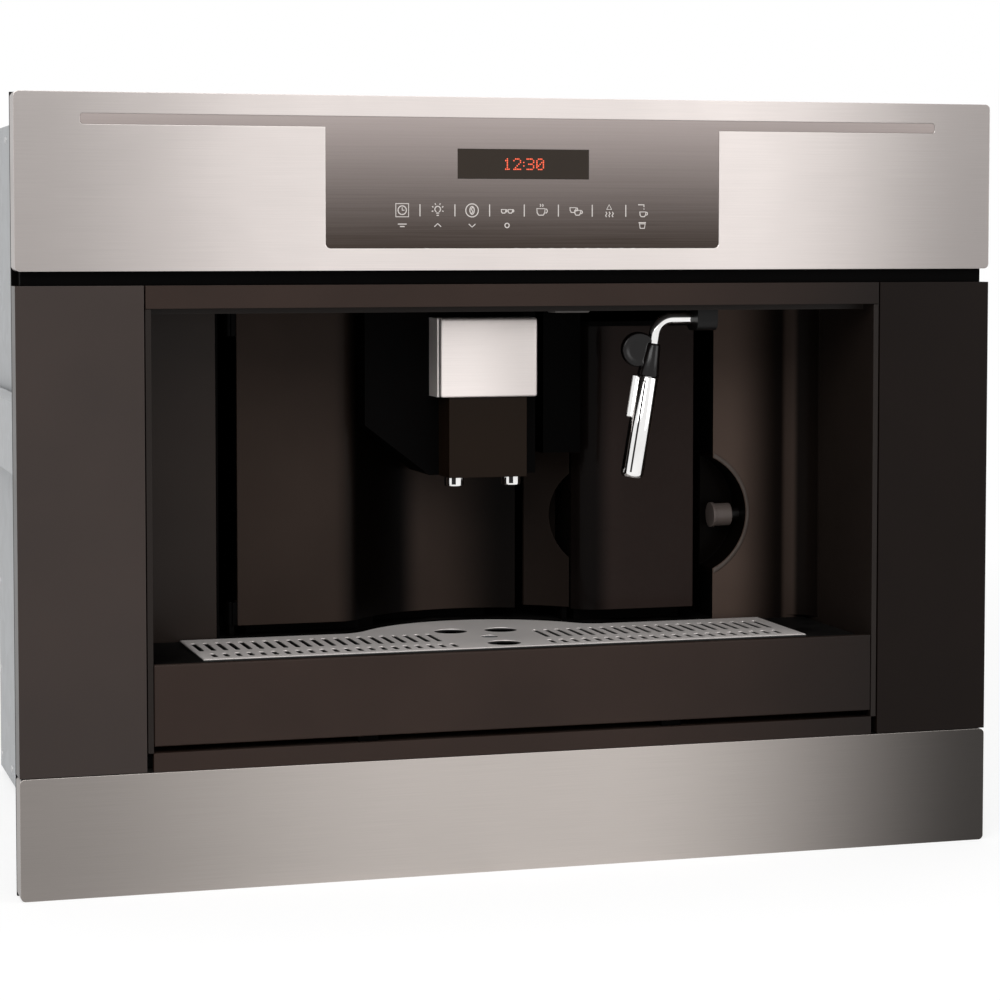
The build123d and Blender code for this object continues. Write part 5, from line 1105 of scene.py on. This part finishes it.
def frother_sleeve():
    """The chrome sleeve with a dark bar as a painted reflection, and its air pipe on two pins."""
    bend, down, aside = wand_frame()
    top = GRIP_FOOT + SLEEVE_GAP
    length = SLEEVE_FOOT - top
    air_length = AIR_FOOT - top
    sleeve = [
        (0, 5.9), (0, 6.6), (0.5, SLEEVE_R), (length - 2.2, SLEEVE_R), (length - 0.8, 6.5),
        (length, 5.6), (length, 4.6), (length - 0.8, 5.4), (4, 6.0),
    ]
    air = [(0, 0), (0, 1.4), (0.4, AIR_R), (air_length - 0.5, AIR_R), (air_length, 1.3), (air_length, 0)]
    pin = [(0, 0), (0, AIR_PIN_R), (AIR_PIN_L, AIR_PIN_R), (AIR_PIN_L, 0)]
    mesh = bmesh.new()
    lathe_ring(mesh, sleeve, bend + down * top, down, segments=56)
    lathe(mesh, air, bend + down * top + aside * AIR_ASIDE, down, segments=24)
    for along in AIR_PINS:
        start = bend + down * (top + along) + aside * AIR_PIN_ASIDE
        lathe(mesh, pin, start, aside, segments=16)
    turned = Matrix.Rotation(LINE_TURN, 3, down) @ Vector((0, -1, 0))
    start = bend + down * (top + LINE_ENDS[0])
    end = bend + down * (SLEEVE_FOOT - LINE_ENDS[1])
    reflection_bar(mesh, start, end, turned, SLEEVE_R, LINE_W)
    made = piece_from_bmesh(mesh, "frother_sleeve", ("chrome", "grip_plastic"))
    finish_piece(made, "frother", ["frother_tube"], TURNED)


class COFFEE_OT_wand(bpy.types.Operator):
    """Build the steam wand: bent tube, grip with its thumb disc, and sleeve with its air pipe."""

    bl_idname = "coffee.wand"
    bl_label = "Steam Wand"

    def execute(self, context):
        wand_pipe()
        wand_handle()
        frother_sleeve()
        return {"FINISHED"}


# ------------------------------------------------------------------ screws at the back, in millimetres
SCREW_SIDE_INSET = 14.0
SCREW_END_INSET = 16.0
HEAD_PROFILE = ((0, 0), (0, 3.5), (0.9, 3.4), (1.4, 2.9), (1.7, 2.2))
HEAD_SINK = 1.8                                 # foot of the head below its point
HEAD_TOP = HEAD_PROFILE[-1][0] - HEAD_SINK
CROSS_ARM = ((0.4, 0.4), (0.4, 1.9), (-0.4, 1.9))
CROSS_DEPTH = 1.0
CROSS_TAPER = 0.8
SCREW_SEED = 4


def screw_places():
    """Places of the screws on the rear cover, as (x, z)."""
    low, high = rear_low / MM, rear_high / MM
    heights = (low.z + SCREW_END_INSET, (low.z + high.z) / 2, high.z - SCREW_END_INSET)
    places = [(side * (high.x - SCREW_SIDE_INSET), z) for side in SIDES for z in heights]
    return places + [(0.0, heights[0]), (0.0, heights[2])]


def screw_head():
    """A domed head with a cross recess, on the origin and looking back."""
    mesh = bmesh.new()
    cross = []
    for turn in turns_of(4):
        cross += [(x * cos(turn) - z * sin(turn), x * sin(turn) + z * cos(turn)) for x, z in CROSS_ARM]
    lathe(mesh, HEAD_PROFILE, (0, -HEAD_SINK, 0), (0, 1, 0), segments=36)
    top = max(mesh.faces, key=lambda face: face.calc_center_median().y)
    bmesh.ops.delete(mesh, geom=[top], context="FACES_ONLY")
    upper = [mesh.verts.new(Vector((x, HEAD_TOP, z)) * MM) for x, z in cross]
    floor = HEAD_TOP - CROSS_DEPTH
    lower = [mesh.verts.new(Vector((x * CROSS_TAPER, floor, z * CROSS_TAPER)) * MM) for x, z in cross]
    for index in range(len(cross)):
        after = (index + 1) % len(cross)
        mesh.faces.new((upper[index], upper[after], lower[after], lower[index]))
    mesh.faces.new(lower)
    open_edges = [edge for edge in mesh.edges if len(edge.link_faces) == 1]
    bmesh.ops.triangle_fill(mesh, use_beauty=True, edges=open_edges)
    return piece_from_bmesh(mesh, "screw_head", ("screw_steel",))


def screws_tree():
    """Geometry nodes: a screw head on every point, each turned by chance."""
    tree, given = new_points_tree("screw_heads", (("Head", "Object"), ("Seed", "Int")))
    source = add_node(tree, "GeometryNodeObjectInfo", {"Object": given["Head"]})
    turn = add_node(tree, "FunctionNodeRandomValue", {"Seed": given["Seed"]}, data_type="FLOAT")
    for socket in turn.inputs:
        if socket.name == "Max" and socket.type == "VALUE":
            socket.default_value = pi
    value = next(socket for socket in turn.outputs if socket.type == "VALUE")
    spin = add_node(tree, "ShaderNodeCombineXYZ", {"Y": value})
    return end_points_tree(tree, given, source.outputs["Geometry"], Rotation=spin.outputs[0])


class COFFEE_OT_screws(bpy.types.Operator):
    """Put cross-recessed screw heads on the rear cover."""

    bl_idname = "coffee.screws"
    bl_label = "Cover Screws"

    def execute(self, context):
        head = screw_head()
        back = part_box("cover_screws")[1].y / MM
        points = [(x, back, z) for x, z in screw_places()]
        values = {"Head": head, "Seed": SCREW_SEED, "Material": bpy.data.materials["screw_steel"]}
        made = dressed_points(points, screws_tree(), "cover_screw_heads", values)
        bpy.data.objects.remove(head)
        finish_piece(made, "machine", ["cover_screws"], TURNED)
        return {"FINISHED"}


# ------------------------------------------------------------------ rim of the right recess, in millimetres
RECESS_R = 39.2                                 # radius and middle of the recess, as in the CAD
RECESS_X = 138.2
RECESS_RISE = 2.5                               # middle of the recess above the plunger
RIM_W = 3.4
RIM_SHIFT = 1.4                                 # the rim is wider towards the panel's edge
RIM_RISE = 0.7
RIM_SINK = 0.3
RIM_CLEAR = 0.4
RIM_ROUND = 0.2


def span(edge, middle, radius):
    """Angle at which a circle crosses the edge of the panel, in degrees."""
    return degrees(acos((edge - middle) / radius))


class COFFEE_OT_rim(bpy.types.Operator):
    """Lay the raised rim round the right finger recess; its pale brown is a painted highlight."""

    bl_idname = "coffee.rim"
    bl_label = "Recess Rim"

    def execute(self, context):
        edge = recess_low.x / MM + RIM_CLEAR
        height = (plunger_low.z + plunger_high.z) / 2 / MM + RECESS_RISE
        outer_x, outer_r, inner_r = RECESS_X - RIM_SHIFT, RECESS_R + RIM_W, RECESS_R + RIM_CLEAR
        turn = span(edge, outer_x, outer_r)
        outline = arc((outer_x, height), outer_r, -turn, turn, 40)
        turn = span(edge, RECESS_X, inner_r)
        outline += arc((RECESS_X, height), inner_r, turn, -turn, 40)
        mesh = bmesh.new()
        face = wall_y / MM
        prism(mesh, outline, 1, face - RIM_RISE, face + RIM_SINK)
        round_edges(mesh, RIM_ROUND * MM, 2)
        made = piece_from_bmesh(mesh, "recess_rim", ("rim_brown",))
        finish_piece(made, "machine", smooth_angle=FOLDED)
        return {"FINISHED"}


# ------------------------------------------------------------------ rivets of the case, in millimetres
RIVET_PITCH = 58.0
RIVET_EDGE = 8.0
RIVET_RUNNER_GAP = 12.0


def rivets_tree():
    """Geometry nodes: a flat dome on every point."""
    inputs = (("Radius", "Float"), ("Height", "Float"), ("Facing", "Vector"))
    tree, given = new_points_tree("rivets", inputs)
    ball = add_node(tree, "GeometryNodeMeshUVSphere", {"Segments": 20, "Rings": 10, "Radius": 1.0})
    sizes = {"X": given["Radius"], "Y": given["Radius"], "Z": given["Height"]}
    size = add_node(tree, "ShaderNodeCombineXYZ", sizes).outputs[0]
    flat = add_node(tree, "GeometryNodeTransform", {"Geometry": ball.outputs["Mesh"], "Scale": size})
    turn = {"Geometry": flat.outputs[0], "Rotation": given["Facing"]}
    turned = add_node(tree, "GeometryNodeTransform", turn)
    return end_points_tree(tree, given, turned.outputs[0])


def spaced(low, high, pitch):
    """Even places from low to high, about a pitch apart."""
    count = max(1, round((high - low) / pitch))
    return [low + (high - low) * step / count for step in range(count + 1)]


def rivet_places():
    """Rivets of the case: for each sheet its name, the points and the way that the domes face."""
    wall_low, wall_high = (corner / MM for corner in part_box("side_wall_right"))
    runner_low, runner_high = (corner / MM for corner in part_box("runner_fixed_right"))
    top_low, top_high = (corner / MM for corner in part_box("top_cover"))
    heights = spaced(wall_low.z + RIVET_EDGE, wall_high.z - RIVET_EDGE, RIVET_PITCH)
    depths = spaced(wall_low.y + 2 * RIVET_EDGE, wall_high.y - RIVET_EDGE, RIVET_PITCH)
    across = spaced(top_low.x + 2 * RIVET_EDGE, top_high.x - 2 * RIVET_EDGE, RIVET_PITCH)
    ends = (depths[0], depths[-1])
    taken_low, taken_high = runner_low.z - RIVET_RUNNER_GAP, runner_high.z + RIVET_RUNNER_GAP
    edges = {(y, z) for y in ends for z in heights if not taken_low < z < taken_high}
    edges |= {(y, z) for y in depths for z in (heights[0], heights[-1])}
    sides = [
        (name, [(side * wall_high.x, y, z) for y, z in sorted(edges)], (0, pi / 2, 0))
        for name, side in (("rivets_left", -1), ("rivets_right", 1))
    ]
    return [*sides, ("rivets_top", [(x, y, top_high.z) for y in ends for x in across], (0, 0, 0))]


class COFFEE_OT_rivets(bpy.types.Operator):
    """Set rivets along the edges of the side walls and the top cover."""

    bl_idname = "coffee.rivets"
    bl_label = "Rivets"

    def execute(self, context):
        settings = context.scene.coffee_pieces
        tree = rivets_tree()
        values = {
            "Radius": settings.rivet_radius, "Height": settings.rivet_height,
            "Material": bpy.data.materials["screw_steel"],
        }
        for name, points, facing in rivet_places():
            made = dressed_points(points, tree, name, {**values, "Facing": facing})
            finish_piece(made, "machine", smooth_angle=DOMED)
        return {"FINISHED"}


# ------------------------------------------------------------------ zones of painted shade, reflection and highlight on the frame's nodes
NICHE_R = 92 * MM                               # radius of the door's round niche, as in the CAD
HINGE_STRIP = 3 * MM                            # painted shade on the door beside its hinge
PLUNGER_STEM = 11 * MM                          # stem behind the plunger's button, painted dark as shade
PILLAR_DARK_RISE = 12 * MM                            # the pillar is dark from this height above the foot of the slider
PANEL_SKIN = 0.5 * MM                           # deeper than this, the recess gets painted shade
GRID_SKIN = (0.8 * MM, 0.2 * MM)                # painted shade grows in the slots between these depths
SHARP = 0.1 * MM


def steel_reflection_ends(left_reach, left_tone, right_reach, right_tone):
    """Zones of painted reflection that darken a fascia to its ends, standing in for its darker surroundings; a
    reach is a share of half its width.
    """
    end = cad_box[1][0]
    return [("X", -end, 0.0, left_reach * end, left_tone), ("X", end, 0.0, right_reach * end, right_tone)]


def beyond(axis, edge, reach, tone):
    """A zone with a sharp edge, whose middle is a reach away from that edge."""
    return (axis, edge + reach, abs(reach) - SHARP, abs(reach), tone)


def cover_shade_zones():
    """Painted shade: the spout's steel cover is darker to its right."""
    return [("X", cover_high.x, 0.0, 0.8 * (cover_high.x - cover_low.x), 0.74)]


def grid_slot_shade_zones():
    """Painted shade: the slots of the cup grid are dark below its skin."""
    height = grid_high.z - grid_low.z
    return [("Z", grid_low.z, height - GRID_SKIN[0], height - GRID_SKIN[1], 0.02)]


def door_shade_zones():
    """Painted shade: the door is dark beside its hinge and in both flanks of its round niche."""
    return [
        beyond("X", hinge_x + HINGE_STRIP, -13 * MM, 0.02),
        ("X", niche_x - 0.6 * NICHE_R, 16 * MM, 34 * MM, 0.04),
        ("X", niche_x + 0.4 * NICHE_R, 6 * MM, 50 * MM, 0.1),
    ]


def recess_shade_and_highlight_zones():
    """Painted shade and highlight on the right panel: dark in its recess and beside it, with a painted highlight
    line in the dark band.
    """
    left = recess_low.x
    return [
        beyond("Y", wall_y + PANEL_SKIN, 19.5 * MM, 0.03),
        ("X", left + 55 * MM, 10 * MM, 46 * MM, 0.06),
        ("X", left + 52 * MM, 2 * MM, 6 * MM, 8.0),
    ]


def pillar_zones():
    """The pillar is dark above the foot of the slider."""
    return [beyond("Z", slider_low.z + PILLAR_DARK_RISE, 100 * MM, 0.02)]


def tank_shade_zones():
    """Painted shade: the tank is darker beside the pillar."""
    return [("X", tank_low.x, 12 * MM, 26 * MM, 0.15)]


def plunger_stem_shade_zones():
    """Painted shade: the stem of the plunger is dark, its button is not."""
    return [beyond("X", plunger_high.x - PLUNGER_STEM, PLUNGER_STEM, 0.03)]


# ------------------------------------------------------------------ finishes of the frame's nodes
# nodes whose finish differs from the one named by their material slot
NODE_FINISHES = {
    "control_fascia": "steel_upper",
    "lower_fascia": "steel_lower",
    "service_door": "door_panel",
    "back_panel_left": "cavity_panel",
    "back_panel_right": "recess_panel",
    "centre_pillar": "pillar_panel",
    "spout_arm": "frame_black",
    "side_panel_left": "side_panel_pale",
    "side_panel_right": "side_panel_deep",
    "cavity_liner": "cavity_liner",
    "front_frame": "frame_black",
    "inner_housing": "frame_black",
    "drip_tray": "frame_black",
    "grounds_container": "frame_black",
    "infuser_frame": "frame_black",
    "tank_lid": "frame_black",
    "catch_plunger": "plunger_plastic",
    "spout_slider": "slider_plastic",
    "spout_cover": "steel_spout",
}


def steel_finishes(colours):
    """Brushed and satin steel of the front and of small parts."""
    pale_steel = scaled_colour(colours.upper_steel, 1.33)
    # both fascias darken towards their ends: painted reflection of the darker surroundings
    brushed_steel("steel_upper", colours.upper_steel, zones=steel_reflection_ends(0.6, 0.54, 0.6, 0.37))
    brushed_steel("steel_lower", colours.lower_steel, zones=steel_reflection_ends(0.8, 0.5, 0.84, 0.1))
    brushed_steel("steel_spout", pale_steel, radius=0.9 * MM, metal=0.6, zones=cover_shade_zones())
    brushed_steel("machined_metal", MACHINED_METAL, radius=0.3 * MM)
    brushed_steel("burr_steel", BURR_STEEL, radius=0.3 * MM)
    brushed_steel("screw_steel", SCREW_STEEL, radius=0.2 * MM)
    satin_grid("grid_steel", colours.grid_cream, grid_slot_shade_zones())
    polished_chrome("chrome")
    zinc_sheet("galvanised", ZINC)
    zinc_sheet("runner_steel", RUNNER_ZINC, scale=160.0)


def panel_finishes(brown):
    """Dark brown of the front's panels, rail and tray: the side panels as a lit and a shaded copy of one brown,
    and painted shade towards the right end of the rest.
    """
    right_end_shade = ("X", cad_box[1][0], 0.0, 0.8 * cad_box[1][0], 0.1)
    coated_panel("side_panel_pale", scaled_colour(brown, 1.1), shine=0.33)
    coated_panel("side_panel_deep", scaled_colour(brown, 0.3), shine=0.08)
    coated_panel("dark_panel", scaled_colour(brown, 1.2), shine=0.13, zones=[right_end_shade])


def cavity_finishes(brown):
    """Dark brown of the walls in the cavity, as lit and shaded copies of one brown: each wall's brown is scaled to
    how light falls on it, the recess panel most as a lit copy, with painted shade in zones.
    """
    coated_panel("cavity_panel", scaled_colour(brown, 1.3), gloss=0.3, shine=0.12)
    coated_panel("door_panel", scaled_colour(brown, 1.75), gloss=0.3, shine=0.03, zones=door_shade_zones())
    coated_panel("recess_panel", scaled_colour(brown, 5.0), gloss=0.3, shine=0.02, zones=recess_shade_and_highlight_zones())
    coated_panel("pillar_panel", scaled_colour(brown, 0.65), gloss=0.4, shine=0.02, zones=pillar_zones())
    coated_panel("cavity_liner", scaled_colour(brown, 0.7), gloss=0.42, shine=0.16)


def plastic_finishes():
    """Plastics and coatings with a fixed tone."""
    coated_panel("black_plastic", PLASTIC_BLACK, gloss=0.4, shine=0.2)
    coated_panel("frame_black", BLACK, gloss=0.5, shine=0.02)
    coated_panel("slider_plastic", SLIDER_BROWN, gloss=0.3, shine=0.08, radius=0.9 * MM)
    coated_panel("rim_brown", RIM_HIGHLIGHT_BROWN, gloss=0.35, shine=0.2)
    coated_panel("plunger_plastic", PLUNGER_GREY, gloss=0.35, shine=0.35, zones=plunger_stem_shade_zones())
    coated_panel("grey_plastic", PLAIN_GREY, gloss=0.5)
    coated_panel("hose", HOSE_WHITE, gloss=0.45)
    dark_gloss("grip_plastic", GRIP_BLACK, gloss=0.2)
    dark_gloss("tank_plastic", TANK_SMOKE, gloss=0.25, shine=0.02, zones=tank_shade_zones())
    dark_gloss("smoked_plastic", LID_SMOKE, gloss=0.16)
    dark_gloss("display", DISPLAY_BLACK, shine=0.3)
    clear_lens("clear_lens")
    circuit_board("circuit_board")


class COFFEE_OT_finishes(bpy.types.Operator):
    """Make the materials and give every node of the frame its finish."""

    bl_idname = "coffee.finishes"
    bl_label = "Finishes"

    def execute(self, context):
        colours = context.scene.coffee_finishes
        for material in list(bpy.data.materials):
            bpy.data.materials.remove(material)
        for build in (grain_group, skin_group, edge_group, dust_group, spangle_group, zone_group):
            build()
        steel_finishes(colours)
        panel_finishes(colours.panel_brown)
        cavity_finishes(colours.cavity_brown)
        plastic_finishes()
        glass_print_and_reflection("control_glass", colours.glass_top, colours.glass_foot)
        lit_digits("lit_digits", colours.digit_red)
        pale_print("pale_print")
        for part in frame["record"]["subparts"]:
            node = part["node"]
            piece = frame["nodes"][node]
            piece.data.materials.clear()
            name = NODE_FINISHES.get(node, part["material_slot"])
            piece.data.materials.append(bpy.data.materials[name])
        return {"FINISHED"}


# ------------------------------------------------------------------ stage, in metres
FLOOR_REACH = 6.0
FLOOR_NEAR = 0.7                                # the shadow fades between these distances
FLOOR_FAR = 1.7
FLOOR_SHARE = 0.3                               # share of the floor's white that takes shadow
FLOOR_LIFT = 0.04
# name: place, point looked at, size, share of the lamp power
LAMPS = {
    "front_lamp": ((-0.9, -1.7, 1.5), (0, 0, 0.2), (1.6, 1.2), 1.0),
    "side_lamp": ((1.6, -1.2, 0.9), (0, 0, 0.25), (1.0, 1.4), 0.35),
    "top_lamp": ((0, 0.2, 1.9), (0, 0.1, 0.2), (1.6, 1.2), 0.3),
}
SENSOR_MM = 36
CLIP_START = 0.05


def area_lamp(name, place, aim, size, power):
    """A soft lamp that looks at a point."""
    data = bpy.data.lights.new(name, "AREA")
    data.shape = "RECTANGLE"
    data.size, data.size_y = size
    data.energy = power
    lamp = bpy.data.objects.new(name, data)
    lamp.location = place
    lamp.rotation_euler = (Vector(aim) - Vector(place)).to_track_quat("-Z", "Y").to_euler()
    bpy.context.scene.collection.objects.link(lamp)


def looked_at(tree):
    """1 for rays sent out by the camera, a mirror or glass, and 0 for the rest."""
    path = add_node(tree, "ShaderNodeLightPath").outputs
    mirrored = maths(tree, "MAXIMUM", path["Is Glossy Ray"], path["Is Transmission Ray"])
    return maths(tree, "MAXIMUM", path["Is Camera Ray"], mirrored)


def floor_paint(name):
    """White floor that keeps the shadow near the object and turns into the white backdrop farther out."""
    tree, shader, place = new_material(
        name, roughness=0.9, specular_ior_level=0.0, emission_strength=1.0,
    )
    white = mix_colour(tree, scattered(tree, place, 2.0), *FLOOR_TONES)
    length = add_node(tree, "ShaderNodeVectorMath", {0: place}, operation="LENGTH").outputs["Value"]
    far = ramp(tree, length, FLOOR_NEAR, FLOOR_FAR)
    looked = looked_at(tree)
    shaded = mix_colour(tree, far, (FLOOR_SHARE,) * 3, (0, 0, 0))
    glow = mix_colour(tree, far, (1 - FLOOR_SHARE + FLOOR_LIFT,) * 3, (1, 1, 1))
    paint(tree, shader, mix_colour(tree, looked, white, shaded))
    tree.links.new(mix_colour(tree, looked, (0, 0, 0), glow), shader.inputs["Emission Color"])


def white_floor(scene):
    """The floor under the object."""
    mesh = bmesh.new()
    bmesh.ops.create_grid(mesh, x_segments=1, y_segments=1, size=FLOOR_REACH)
    data = bpy.data.meshes.new("floor")
    mesh.to_mesh(data)
    mesh.free()
    floor_paint("floor_paint")
    data.materials.append(bpy.data.materials["floor_paint"])
    floor = bpy.data.objects.new("floor", data)
    scene.collection.objects.link(floor)


def studio_world(scene, fill):
    """White for what looks at it, and a soft fill for what it lights."""
    world = bpy.data.worlds.new("studio")
    world.use_nodes = True
    tree = world.node_tree
    seen = mix_colour(tree, looked_at(tree), (fill,) * 3, (1, 1, 1))
    tree.links.new(seen, tree.nodes["Background"].inputs["Color"])
    scene.world = world


def main_camera(scene, settings):
    """The camera at the photograph's angle."""
    data = bpy.data.cameras.new("camera")
    data.lens = settings.lens
    data.sensor_width = SENSOR_MM
    data.shift_y = settings.shift
    data.clip_start = CLIP_START
    camera = bpy.data.objects.new("camera", data)
    camera.location = settings.camera_at
    camera.rotation_euler = (pi / 2 - settings.pitch, 0, -settings.yaw)
    scene.collection.objects.link(camera)
    scene.camera = camera


class COFFEE_OT_stage(bpy.types.Operator):
    """Set the floor, the lamps and the camera."""

    bl_idname = "coffee.stage"
    bl_label = "Stage"

    def execute(self, context):
        scene = context.scene
        settings = scene.coffee_stage
        white_floor(scene)
        studio_world(scene, settings.fill)
        for name, (place, aim, size, share) in LAMPS.items():
            area_lamp(name, place, aim, size, settings.lamp_power * share)
        main_camera(scene, settings)
        scene.view_settings.view_transform = "Standard"
        return {"FINISHED"}


# ------------------------------------------------------------------ panel and registration
class COFFEE_PT_panel(bpy.types.Panel):
    """Steps and settings of the coffee machine."""

    bl_label = "Coffee Machine"
    bl_idname = "COFFEE_PT_panel"
    bl_space_type = "VIEW_3D"
    bl_region_type = "UI"
    bl_category = "Coffee Machine"

    def draw(self, context):
        layout = self.layout
        scene = context.scene
        for group in (scene.coffee_finishes, scene.coffee_pieces, scene.coffee_stage):
            box = layout.box()
            for name in group.__annotations__:
                box.prop(group, name)
        for step in STEPS:
            layout.operator(step.bl_idname)


STEPS = (
    COFFEE_OT_finishes, COFFEE_OT_marks, COFFEE_OT_clock, COFFEE_OT_spout, COFFEE_OT_wand,
    COFFEE_OT_rim, COFFEE_OT_screws, COFFEE_OT_rivets, COFFEE_OT_stage,
)
SETTINGS = (FinishSettings, PieceSettings, StageSettings)
CLASSES = (*SETTINGS, *STEPS, COFFEE_PT_panel)


def register():
    """Register the settings, the steps and the panel."""
    for item in CLASSES:
        bpy.utils.register_class(item)
    bpy.types.Scene.coffee_finishes = PointerProperty(type=FinishSettings)
    bpy.types.Scene.coffee_pieces = PointerProperty(type=PieceSettings)
    bpy.types.Scene.coffee_stage = PointerProperty(type=StageSettings)


def unregister():
    """Take back what register added."""
    del bpy.types.Scene.coffee_stage
    del bpy.types.Scene.coffee_pieces
    del bpy.types.Scene.coffee_finishes
    for item in reversed(CLASSES):
        bpy.utils.unregister_class(item)


def main():
    """Run every step in order."""
    register()
    for step in STEPS:
        family, name = step.bl_idname.split(".")
        getattr(getattr(bpy.ops, family), name)()


if __name__ == "__main__":
    main()
